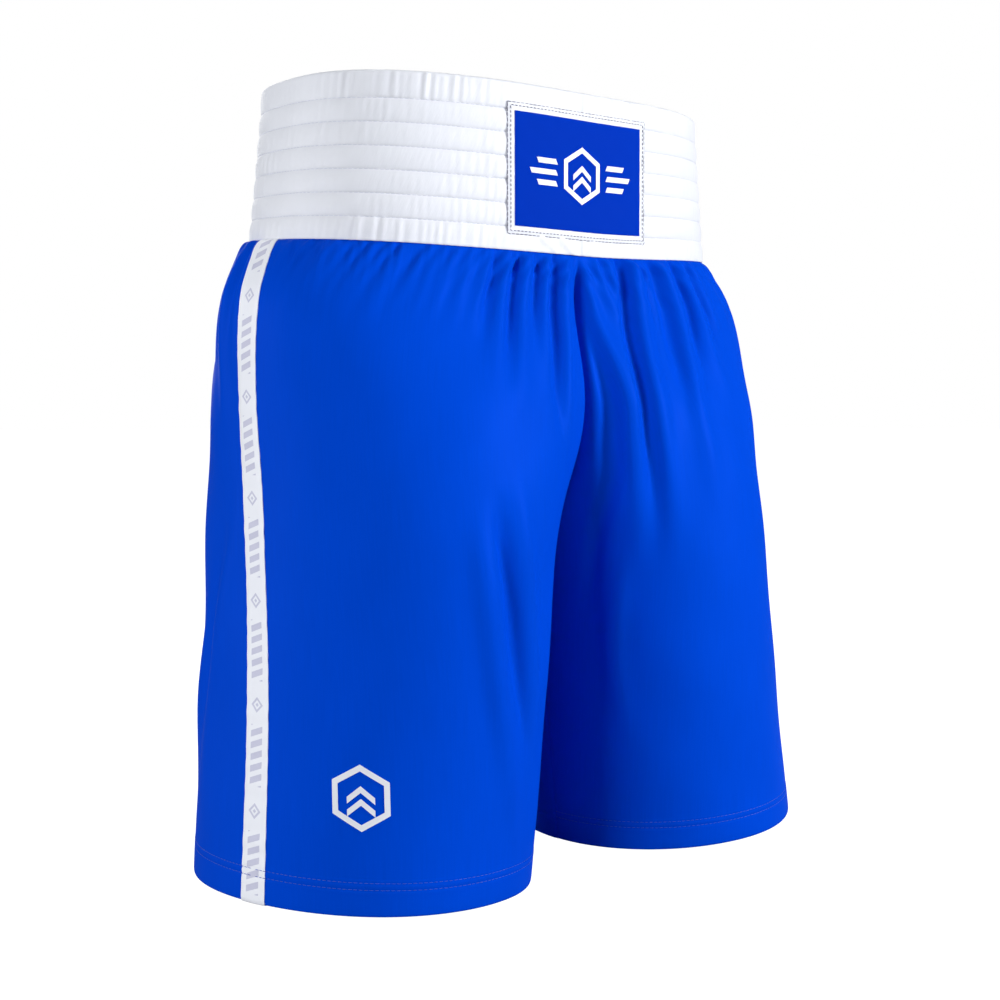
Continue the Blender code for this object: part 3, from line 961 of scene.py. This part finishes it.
def band_relief(down, run, girth, sizes):
    """Rise of the outer cloth: puffed channels, small gathers, pulls near the patch and the front join."""
    lines = [0.0, *channel_lines(), BAND_HEIGHT]
    channel = min(max(k for k in range(CHANNELS) if lines[k] <= down + 1e-9), CHANNELS - 1)
    t = (down - lines[channel]) / (lines[channel + 1] - lines[channel])
    arch = math.sin(math.pi * min(max(t, 0.0), 1.0)) ** 0.55
    if channel == 0:
        arch = 1.0 if t < 0.55 else math.sin(math.pi * (t - 0.1) / 0.9 if t > 0.1 else 0.5) ** 0.55
    if channel == CHANNELS - 1:
        arch = max(arch, 0.75) if t > 0.5 else arch
    around = run / girth * 2 * math.pi
    draw = np.random.default_rng(40 + channel)
    pucker = np.zeros_like(run)
    for count in draw.integers(95, 190, 9):
        pucker += draw.uniform(0.5, 1.0) * np.sin(count * around + draw.uniform(0, 2 * math.pi) + 1.2 * t)
    slow = np.zeros_like(run)
    for count in draw.integers(9, 40, 7):
        slow += np.sin(count * around + draw.uniform(0, 2 * math.pi)) / 2.6
    strong = 2.2 if channel in (0, CHANNELS - 1) else 0.8
    crimp = (
        sizes.pucker * strong * pucker / 2.2 * (0.45 + 0.55 * arch)
        * (0.75 + 0.5 * np.sin(5 * around + channel))
    )
    rise = sizes.puff * (arch - 0.62) * (1 + 0.12 * slow) + crimp
    ahead = (run + girth / 2) % girth - girth / 2
    join = np.exp(-((ahead / 0.0012) ** 2)) - 0.35 * np.exp(-((ahead / 0.006) ** 2))
    rise -= 0.9 * MM * join
    for middle, top, lean, width, height in (
        (0.014, 0.004, 1.1, 0.0030, 0.8),
        (0.028, 0.005, 1.3, 0.0034, 1.0),
        (0.041, 0.006, 1.5, 0.0032, 0.9),
        (0.053, 0.008, 1.3, 0.0030, 0.7),
        (-0.030, 0.092, -1.4, 0.0030, 0.8),
        (-0.012, 0.094, -1.0, 0.0032, 0.9),
        (0.010, 0.093, 1.2, 0.0030, 0.7),
        (0.070, 0.050, 0.3, 0.0060, 0.4),
        (-0.068, 0.045, -0.2, 0.0060, 0.4),
    ):
        path = middle - lean * (down - top)
        rise += (
            height * MM * np.exp(-(((ahead - path) / width) ** 2)) * math.exp(-(((down - top) / 0.009) ** 2))
        )
    return rise


class SHORTS_OT_waistband(bpy.types.Operator):
    """Builds the waistband's folded cover and the elastic inside it"""

    bl_idname = "shorts.waistband"
    bl_label = "Waistband"

    def execute(self, context):
        sizes = context.scene.shorts_sizes
        columns = 760
        lines = [0.0, *channel_lines(), BAND_HEIGHT]
        shares = (0.0, 0.035, 0.09, 0.19, 0.34, 0.5, 0.66, 0.81, 0.91, 0.965)
        downs = [top + (foot - top) * share for top, foot in zip(lines, lines[1:]) for share in shares]
        downs = [down for down in downs if down > BAND_FOLD_RADIUS]
        profile = [
            (BAND_HEIGHT - TURNED_EDGE, 0.0013),
            (BAND_HEIGHT - 0.0006, 0.0012),
            (BAND_HEIGHT + 0.0001, 0.0004),
        ]
        profile += [(down, 0.0) for down in reversed(downs)]
        for step in range(9):
            turn = math.pi * step / 8
            profile.append(
                (BAND_FOLD_RADIUS * (1 - math.sin(turn)), BAND_THICKNESS / 2 * (1 - math.cos(turn)))
            )
        inner = [down for down in downs if down > 0.004][::2]
        profile += [(down, BAND_THICKNESS) for down in inner]
        profile += [(BAND_HEIGHT, BAND_THICKNESS - 0.0004), (BAND_HEIGHT - 0.0006, BAND_THICKNESS - 0.0012)]
        profile.append((BAND_HEIGHT - TURNED_EDGE, BAND_THICKNESS - 0.0013))
        rings, charts, path = [], [], 0.0
        for index, (down, inset) in enumerate(profile):
            ring, run = band_ring(down, inset, columns)
            girth = run[-1]
            outward = unit(np.cross(np.gradient(ring, axis=0), (0.0, 0.0, 1.0)))
            outward[0] = outward[-1] = unit(outward[0] + outward[-1])
            on_outer = 1.0 if inset < 0.0003 else max(0.0, 1.0 - inset / 0.002)
            on_inner = 1.0 if inset > BAND_THICKNESS - 1e-6 else 0.0
            relief = band_relief(min(down, BAND_HEIGHT), run, girth, sizes)
            rings.append(ring + outward * (relief * (on_outer - 0.5 * on_inner))[:, None])
            if index:
                path += math.hypot(down - profile[index - 1][0], inset - profile[index - 1][1])
            charts.append(np.column_stack((run, np.full(len(run), path))))
        cover = cloth("band_cover", np.array(rings), np.array(charts), loop=True, flip=True)
        place_piece(cover, "hips", "waistband_cloth", finish_for("band_satin"), "waistband_cover")
        self.add_elastic()
        return {"FINISHED"}

    def add_elastic(self):
        """A ribbed ring that fills the folded cover."""
        top, foot = 0.0035, BAND_HEIGHT - 0.010
        rings, charts = [], []
        for down in np.linspace(top, foot, 12):
            ring, run = band_ring(down, 0.0025, 480)
            outward = unit(np.cross(np.gradient(ring, axis=0), (0.0, 0.0, 1.0)))
            outward[0] = outward[-1] = unit(outward[0] + outward[-1])
            ribs = 0.08 * MM * np.cos(run / run[-1] * 2 * math.pi * 120)
            rings.append(ring + outward * ribs[:, None])
            charts.append(np.column_stack((run, np.full(len(run), down))))
        elastic = cloth("band_elastic", np.array(rings), np.array(charts), loop=True, thickness=0.0012)
        place_piece(elastic, "hips", "elastic", finish_for("elastic_weave"), "waistband_elastic")


class SHORTS_OT_band_stitching(bpy.types.Operator):
    """Sews the rows that divide the waistband into channels"""

    bl_idname = "shorts.band_stitching"
    bl_label = "Waistband stitching"

    def execute(self, context):
        sizes = context.scene.shorts_sizes
        for index, down in enumerate(channel_lines()):
            ring, run = band_ring(down, 0.0, 900)
            outward = unit(np.cross(np.gradient(ring, axis=0), (0.0, 0.0, 1.0)))
            relief = band_relief(down, run, run[-1], sizes)
            points = ring + outward * (relief + 0.00008)[:, None]
            name = f"band_stitch_row_{index + 1}"
            row = sew(name, points[:-1], outward[:-1], sizes.stitch, 0.0006, 0.00042)
            # The white thread is drawn grey: painted shade along the stitch line.
            place_piece(
                row, "hips", "white_thread", finish_for("thread_white_painted_shade"), f"waistband_stitch_{index + 1}"
            )
        return {"FINISHED"}


# Patch --------------------------------------------------------------------------------------------


def patch_place(across, down, lift):
    """Points over the front of the band, at distances from the centre and down from the rim."""
    across, down = np.broadcast_arrays(np.asarray(across, float), np.asarray(down, float))
    low = down / BAND_HEIGHT
    half_width = RIM_HALF_WIDTH + (EDGE_HALF_WIDTH - RIM_HALF_WIDTH) * low
    out = 1 - np.abs(across / (half_width + lift)) ** BAND_SQUARENESS
    along = -(BAND_HALF_DEPTH + lift) * out ** (1 / BAND_SQUARENESS)
    slope = RIM_SLOPE + (EDGE_SLOPE - RIM_SLOPE) * low
    return np.stack((across, along + BAND_BACK, slope * along - down), -1)


def hexagon(radius):
    """A hexagon that stands on a corner, as an outline."""
    turns = [math.radians(90 + 60 * k) for k in range(6)]
    return [(radius * math.cos(turn), radius * math.sin(turn)) for turn in turns]


def chevron(width, rise, bar, middle):
    """An upright chevron, as an outline."""
    x, y = middle
    return [
        (x - width, y),
        (x, y + rise),
        (x + width, y),
        (x + width, y - bar),
        (x, y + rise - bar),
        (x - width, y - bar),
    ]


def crest_shapes(radius):
    """The generic badge: a hexagon ring round two chevrons. Each shape is an outline and its hole, if any."""
    shapes = [(hexagon(radius), hexagon(0.80 * radius))]
    for height in (0.02, -0.36):
        shapes.append((chevron(0.42 * radius, 0.34 * radius, 0.20 * radius, (0.0, height * radius)), None))
    return shapes


def pressed_film(name, shapes, place, thickness, step=0.002):
    """Fills flat outlines, cuts them into a fine net that can bend, lays it and gives it a thickness."""
    pieces = []
    for outline, hole in shapes:
        curve = bpy.data.curves.new(name, "CURVE")
        curve.dimensions = "2D"
        curve.fill_mode = "BOTH"
        for loop in filter(None, (outline, hole)):
            spline = curve.splines.new("POLY")
            spline.points.add(len(loop) - 1)
            for knot, (x, y) in zip(spline.points, loop):
                knot.co = (x, y, 0.0, 1.0)
            spline.use_cyclic_u = True
        flat = bpy.data.objects.new(name, curve)
        bpy.context.scene.collection.objects.link(flat)
        pieces.append(flat)
    bpy.ops.object.select_all(action="DESELECT")
    for flat in pieces:
        flat.select_set(True)
    bpy.context.view_layer.objects.active = pieces[0]
    bpy.ops.object.convert(target="MESH")
    if len(pieces) > 1:
        bpy.ops.object.join()
    obj = bpy.context.object
    obj.name = obj.data.name = name
    size = max(max(abs(value) for point in outline for value in point) for outline, _ in shapes)
    cuts = np.arange(-size, size + step, step)

    def net():
        for cut in cuts:
            for normal in ((1, 0, 0), (0, 1, 0)):
                bpy.ops.mesh.select_all(action="SELECT")
                bpy.ops.mesh.bisect(plane_co=(cut, cut, 0), plane_no=normal)
        bpy.ops.mesh.select_all(action="SELECT")
        bpy.ops.mesh.remove_doubles(threshold=1e-6)

    edit(obj, net)
    mesh = obj.data
    flat = np.empty(len(mesh.vertices) * 3, np.float32)
    mesh.vertices.foreach_get("co", flat)
    flat = flat.reshape(-1, 3)
    mesh.vertices.foreach_set("co", place(flat[:, 0], flat[:, 1]).astype(np.float32).ravel())
    mesh.update()
    apply(obj, "SOLIDIFY", thickness=thickness, offset=0.0)
    smooth(obj, 40)
    return obj


class SHORTS_OT_patch(bpy.types.Operator):
    """Builds the front patch: white backing, blue face, edge stitching and a generic badge"""

    bl_idname = "shorts.patch"
    bl_label = "Front patch"

    STITCH_INSET = 0.0020

    def execute(self, context):
        sizes = context.scene.shorts_sizes
        width, height = sizes.patch_width, sizes.patch_height
        self.layer(
            "patch_border", width, height, 0.0010, 0.0008, "patch_white", "patch_satin", "patch_backing"
        )
        border = 2 * PATCH_BORDER
        self.layer(
            "patch_field",
            width - border,
            height - border,
            0.0017,
            0.0007,
            "patch_blue",
            "patch_weave",
            "patch_face"
        )
        self.add_edge_stitch(width, height)
        middle = PATCH_TOP + height / 2

        def place(across, up):
            return patch_place(across, middle - up, 0.0019)

        shapes = crest_shapes(0.0175)
        for sign in (-1, 1):
            for level, reach in ((0.0066, 0.0150), (0.0, 0.0205), (-0.0066, 0.0150)):
                near, far, slant = sign * BAR_START, sign * (BAR_START + reach), sign * BAR_HALF
                low, high = level - BAR_HALF, level + BAR_HALF
                bar = [(near, low), (far, low), (far + slant, high), (near + slant, high)]
                shapes.append((bar, None))
        badge = pressed_film("patch_badge", shapes, place, 0.00035)
        place_piece(badge, "hips", "patch_white", finish_for("pressed_white"))
        return {"FINISHED"}

    def layer(self, name, width, height, lift, thickness, slot, finish, node):
        """A thin sheet with a rolled edge, wrapped over the band."""
        columns, rows = 96, 64
        patch_height = bpy.context.scene.shorts_sizes.patch_height
        across = (np.linspace(-0.5, 0.5, columns + 1) * width)[None, :]
        down = (PATCH_TOP + (patch_height - height) / 2 + np.linspace(0.0, 1.0, rows + 1) * height)[:, None]
        edge = np.minimum(
            width / 2 - np.abs(across), height / 2 - np.abs(down - PATCH_TOP - patch_height / 2)
        )
        roll = 0.35 * MM * np.exp(-edge / 0.0006)
        wave = 0.12 * MM * np.sin(across * 2 * math.pi / 0.021) * np.sin(down * 2 * math.pi / 0.017)
        points = patch_place(across, down, lift - roll + wave)
        chart = np.stack(np.broadcast_arrays(across, down), -1)
        obj = cloth(name, points, chart, thickness=thickness)
        place_piece(obj, "hips", slot, finish_for(finish), node)

    def add_edge_stitch(self, width, height):
        """A row of short stitches round the border."""
        half, tall = width / 2 - self.STITCH_INSET, height / 2 - self.STITCH_INSET
        corners = np.array(((-half, -tall), (half, -tall), (half, tall), (-half, tall), (-half, -tall)))
        route = np.concatenate([np.linspace(*ends, 60, endpoint=False) for ends in zip(corners, corners[1:])])
        middle = PATCH_TOP + height / 2
        points = patch_place(route[:, 0], middle + route[:, 1], 0.00125)
        out = unit(patch_place(route[:, 0], middle + route[:, 1], 0.003) - points)
        obj = sew("patch_edge_stitch", points, out, 0.0019, 0.0009, 0.00065)
        place_piece(obj, "hips", "grey_thread", finish_for("thread_grey"), "patch_stitching")
        grown = 1 + 2 * self.STITCH_INSET / np.array((width, height))
        rim = route * grown
        points = patch_place(rim[:, 0], middle + rim[:, 1], 0.0006)
        out = unit(patch_place(rim[:, 0], middle + rim[:, 1], 0.003) - points)
        obj = sew("patch_rim", points, out, 0.0032, 0.0, 0.0007)
        place_piece(obj, "hips", "grey_thread", finish_for("thread_grey"))


# Legs ---------------------------------------------------------------------------------------------


class SHORTS_OT_leg_panels(bpy.types.Operator):
    """Builds the four leg panels with their gathers, folds and turned hems"""

    bl_idname = "shorts.leg_panels"
    bl_label = "Leg panels"

    def execute(self, context):
        gather = context.scene.shorts_sizes.gather
        for side in SIDES:
            for face in FACES:
                self.add_panel(Panel(side, face, gather))
        return {"FINISHED"}

    def add_panel(self, panel):
        """The cloth from its tuck inside the band, down over the hem's fold and up again inside."""
        up = np.array((0.0, 0.0, 1.0))
        tuck = [panel.points[0] - panel.band_normals * MM * 0.2 + up * rise for rise in (0.006, 0.003, 0.001)]
        hem, inwards = panel.points[-1], -panel.hem_normals
        radius, seam = 0.0007, panel.seam[-1]
        turn_in = []
        for step in range(1, 5):
            turn = math.pi * step / 4
            turn_in.append(hem + inwards * radius * (1 - math.cos(turn)) - up * radius * math.sin(turn))
        inside = []
        for height in np.linspace(0.001, HEM_DEPTH, 12):
            drop = LEG_DROP - height
            reach = np.interp(drop, panel.table_drops, panel.seam) / seam
            level, _ = panel.surface(panel.from_side[-1] * reach, drop)
            inside.append(level + inwards * (2 * radius + 0.0002 * math.sin(height * 900)))
        rows = np.array([*tuck, *panel.points, *turn_in, *inside])
        run_in = np.array((-0.006, -0.003, -0.001))
        run_out = LEG_DROP + np.concatenate((np.arange(1, 5) * 0.0006, np.linspace(0.003, 0.022, 12)))
        across = np.vstack(
            [panel.from_side[:1]] * 3 + [panel.from_side] + [panel.from_side[-1:]] * len(run_out)
        )
        level = np.ones_like(panel.from_side[:1])
        down = np.vstack([run_in[:, None] * level, panel.drops, run_out[:, None] * level])
        flip = (panel.side == "right") != (panel.face == "front")
        name = f"leg_cloth_{panel.face}_{panel.side}"
        obj = cloth(name, rows, np.stack((across, down), -1), flip=flip, thickness=CLOTH_THICKNESS)
        node = f"{panel.face}_panel_{panel.side}"
        place_piece(obj, None, "blue_knit", finish_for("leg_knit"), f"{node}_hip", f"{node}_leg")
        bend_with_leg(obj)


class SHORTS_OT_side_tapes(bpy.types.Operator):
    """Lays the ribbon over each side seam"""

    bl_idname = "shorts.side_tapes"
    bl_label = "Side tapes"

    def execute(self, context):
        width = context.scene.shorts_sizes.tape_width
        for side in SIDES:
            distance = (np.linspace(-0.5, 0.5, 15) * width)[None, :]
            drop = (
                np.concatenate((np.linspace(0.0, 0.03, 25)[:-1], np.linspace(0.03, LEG_DROP, 240)))[:, None]
            )
            edge = width / 2 - np.abs(distance)
            crown = 0.75 * MM + 0.10 * MM * np.sin(np.pi * np.clip(edge / (width / 2), 0, 1) / 2)
            sewn = 0.22 * MM * np.exp(-(((edge - 0.0015) / 0.0005) ** 2)) + 0.25 * MM * np.exp(-edge / 0.0004)
            ripple = 0.10 * MM * wander(3 if side == "right" else 4, drop, 0.014)
            hem = (
                0.20 * MM
                * sum(np.exp(-(((LEG_DROP - drop - row) / 0.0009) ** 2)) for row in HEM_ROWS.values())
            )
            points, _ = leg_read(side, distance, drop, crown - sewn + ripple - hem)
            points = self.fill_seam(points)
            chart = np.stack(np.broadcast_arrays(distance, LEG_DROP - drop), -1)
            foot = self.turned_foot(points)
            rows = np.concatenate((points, foot))
            chart = np.concatenate((chart, np.repeat(chart[-1:], len(foot), 0)))
            obj = cloth(f"side_ribbon_{side}", rows, chart, flip=side == "right", thickness=0.00045)
            nodes = (f"side_tape_{side}_hip", f"side_tape_{side}_leg")
            place_piece(obj, None, "side_ribbon", finish_for("ribbon_weave"), *nodes)
            bend_with_leg(obj)
        return {"FINISHED"}

    @staticmethod
    def fill_seam(points):
        """The ribbon bridges the seam's groove: its middle columns run smoothly between their neighbours."""
        middle = points.shape[1] // 2
        left, right = points[:, middle - 2], points[:, middle + 2]
        outer_left, outer_right = points[:, middle - 4], points[:, middle + 4]
        for column in (-1, 0, 1):
            t = (column + 2) / 4
            bow = (4 * t * (1 - t)) * ((left + right) - (outer_left + outer_right)) / 6
            points[:, middle + column] = left * (1 - t) + right * t + bow
        return points

    @staticmethod
    def turned_foot(points):
        """The ribbon's end folds under the hem."""
        out = unit(np.cross(points[-1, -1] - points[-1, 0], points[-2, 7] - points[-1, 7]))
        if np.dot(out, points[-1, 7] * (1, 0, 0)) < 0:
            out = -out
        rows = []
        for step in range(1, 5):
            turn = math.pi * step / 4
            rows.append(
                points[-1] - out * 0.0013 * (1 - math.cos(turn)) - np.array((0, 0, 0.0011)) * math.sin(turn)
            )
        return np.array(rows)


class SHORTS_OT_hem_stitching(bpy.types.Operator):
    """Sews the two rows round each hem"""

    bl_idname = "shorts.hem_stitching"
    bl_label = "Hem stitching"

    def execute(self, context):
        sizes = context.scene.shorts_sizes
        for side in SIDES:
            for row, height in HEM_ROWS.items():
                drop = LEG_DROP - height
                front, back = (np.interp(drop, panel.table_drops, panel.seam) for panel in self.panels(side))
                distance = np.concatenate((np.linspace(-front, 0, 400)[:-1], np.linspace(0, back, 400)))[:-1]
                edge = sizes.tape_width / 2
                over = 1 - smooth_step(np.abs(distance), edge - 0.0002, edge + 0.0008)
                points, normals = leg_read(side, distance, drop, 0.00012 + 0.00090 * over)
                obj = sew(f"hem_row_{side}_{row}", points, normals, sizes.stitch, 0.0005, 0.00038)
                place_piece(
                    obj, f"{side}_leg", "blue_thread", finish_for("thread_blue"), f"hem_stitch_{side}_{row}"
                )
        return {"FINISHED"}

    @staticmethod
    def panels(side):
        return Panel.built[side, "front"], Panel.built[side, "back"]


class SHORTS_OT_emblem(bpy.types.Operator):
    """Presses the generic badge on the front of the right leg"""

    bl_idname = "shorts.emblem"
    bl_label = "Leg emblem"

    def execute(self, context):
        panel = Panel.built["right", "front"]
        centre = panel.look_up(panel.runs, panel.turns, math.pi - abs(EMBLEM_ANGLE), EMBLEM_DROP)

        def place(across, up):
            return panel.surface(centre + across, EMBLEM_DROP - up, 0.00018)[0]

        film = pressed_film("leg_badge", crest_shapes(0.0195), place, 0.0002)
        place_piece(film, "right_leg", "white_print", finish_for("pressed_white"), "leg_emblem")
        return {"FINISHED"}


class SHORTS_OT_care_label(bpy.types.Operator):
    """Hangs the blank care label inside the centre back"""

    bl_idname = "shorts.care_label"
    bl_label = "Care label"

    def execute(self, context):
        low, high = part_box("care_label")
        across = np.linspace(low.x, high.x, 25)[None, :]
        down = np.linspace(0.0, 1.0, 40)[:, None]
        curl = 0.0016 * down**2 * np.cos(across / (high.x - low.x) * math.pi * 1.4)
        y = high.y - 0.0022 + (low.y - high.y) * down * 0.9 - curl
        z = high.z - 0.0005 - (high.z - low.z - 0.002) * down
        points = np.stack(np.broadcast_arrays(across, y, z), -1)
        chart = np.stack(np.broadcast_arrays(across, down * (high.z - low.z)), -1)
        label = cloth("neat_label", points, chart, flip=True, thickness=0.0003)
        place_piece(label, "hips", "label_cloth", finish_for("label_satin"), "care_label")
        return {"FINISHED"}


# Stage --------------------------------------------------------------------------------------------


def seen_only(tree, dim, bright):
    """A strength that is bright to the camera and dim as a light."""
    path = tree.nodes.new("ShaderNodeLightPath")
    strength = tree.nodes.new("ShaderNodeMapRange")
    strength.inputs["To Min"].default_value = dim
    strength.inputs["To Max"].default_value = bright
    tree.links.new(path.outputs["Is Camera Ray"], strength.inputs["Value"])
    return strength.outputs["Result"]


def soft_light(name, place, target, size, power, colour=(1.0, 1.0, 1.0)):
    data = bpy.data.lights.new(name, "AREA")
    data.shape = "SQUARE"
    data.size = size
    data.energy = power
    data.color = colour
    light = bpy.data.objects.new(name, data)
    light.location = place
    light.rotation_euler = (Vector(target) - Vector(place)).to_track_quat("-Z", "Y").to_euler()
    bpy.context.scene.collection.objects.link(light)


class SHORTS_OT_stage(bpy.types.Operator):
    """Sets the pale floor, the soft lights and the camera"""

    bl_idname = "shorts.stage"
    bl_label = "Stage"

    AZIMUTH, DISTANCE, EYE_HEIGHT, TILT, LENS = -38.34, 1.0111, -0.2101, 3.28, 52.41

    def execute(self, context):
        floor = begin(bpy.ops.mesh.primitive_plane_add, size=60.0, location=(0, 0, CAD_BOX[0].z - 0.004))
        floor.name = "floor"
        pale = Finish("pale_floor", (0.22, 0.22, 0.23), 0.9)
        pale.shader.inputs["Emission Color"].default_value = (1.0, 1.0, 1.0, 1.0)
        pale.links.new(seen_only(pale.material.node_tree, 0.0, 1.05), pale.shader.inputs["Emission Strength"])
        floor.data.materials.append(pale.material)
        scene = context.scene
        scene.view_settings.view_transform = "Standard"
        world = bpy.data.worlds.new("studio")
        scene.world = world
        world.use_nodes = True
        tree = world.node_tree
        tree.nodes["Background"].inputs["Color"].default_value = (1.0, 1.0, 1.0, 1.0)
        tree.links.new(seen_only(tree, 0.07, 1.0), tree.nodes["Background"].inputs["Strength"])
        middle = (0.0, 0.0, -0.25)
        soft_light("front_left", (1.40, -1.75, 0.45), middle, 0.5, 57.0)
        soft_light("front", (0.0, -2.4, 0.30), middle, 0.5, 11.0)
        soft_light("front_right", (-2.25, -0.85, 0.25), middle, 0.6, 29.0)
        soft_light("side", (-2.0, 1.3, 0.1), middle, 1.0, 20.0)
        soft_light("top", (0.0, 0.4, 2.0), middle, 1.5, 9.0)
        soft_light("behind", (0.8, 2.2, 0.6), middle, 1.5, 24.0)
        self.add_camera(scene)
        return {"FINISHED"}

    def add_camera(self, scene):
        data = bpy.data.cameras.new("camera")
        data.lens = self.LENS
        data.sensor_width = 36.0
        camera = bpy.data.objects.new("camera", data)
        turn, tilt = math.radians(self.AZIMUTH), math.radians(self.TILT)
        camera.location = (math.sin(turn) * self.DISTANCE, -math.cos(turn) * self.DISTANCE, self.EYE_HEIGHT)
        ahead = Vector((-math.sin(turn) * math.cos(tilt), math.cos(turn) * math.cos(tilt), -math.sin(tilt)))
        camera.rotation_euler = ahead.to_track_quat("-Z", "Y").to_euler()
        scene.collection.objects.link(camera)
        scene.camera = camera


# Add-on -------------------------------------------------------------------------------------------

PIECES = (
    SHORTS_OT_stage,
    SHORTS_OT_leg_panels,
    SHORTS_OT_waistband,
    SHORTS_OT_band_stitching,
    SHORTS_OT_patch,
    SHORTS_OT_side_tapes,
    SHORTS_OT_hem_stitching,
    SHORTS_OT_emblem,
    SHORTS_OT_care_label,
)


class SHORTS_PT_builder(bpy.types.Panel):
    """Lists the sizes, the colours and the pieces"""

    bl_idname = "SHORTS_PT_builder"
    bl_label = "Boxing Shorts"
    bl_space_type = "VIEW_3D"
    bl_region_type = "UI"
    bl_category = "Shorts"

    def draw(self, context):
        layout = self.layout
        for group in (context.scene.shorts_sizes, context.scene.shorts_colours):
            box = layout.box()
            for name in group.__annotations__:
                box.prop(group, name)
        for piece in PIECES:
            layout.operator(piece.bl_idname)


CLASSES = (ShortsSizes, ShortsColours, *PIECES, SHORTS_PT_builder)


def register():
    for kind in CLASSES:
        bpy.utils.register_class(kind)
    bpy.types.Scene.shorts_sizes = bpy.props.PointerProperty(type=ShortsSizes)
    bpy.types.Scene.shorts_colours = bpy.props.PointerProperty(type=ShortsColours)


def unregister():
    del bpy.types.Scene.shorts_sizes
    del bpy.types.Scene.shorts_colours
    for kind in reversed(CLASSES):
        bpy.utils.unregister_class(kind)


def main():
    register()
    for piece in PIECES:
        group, name = piece.bl_idname.split(".")
        getattr(getattr(bpy.ops, group), name)()


if __name__ == "__main__":
    main()
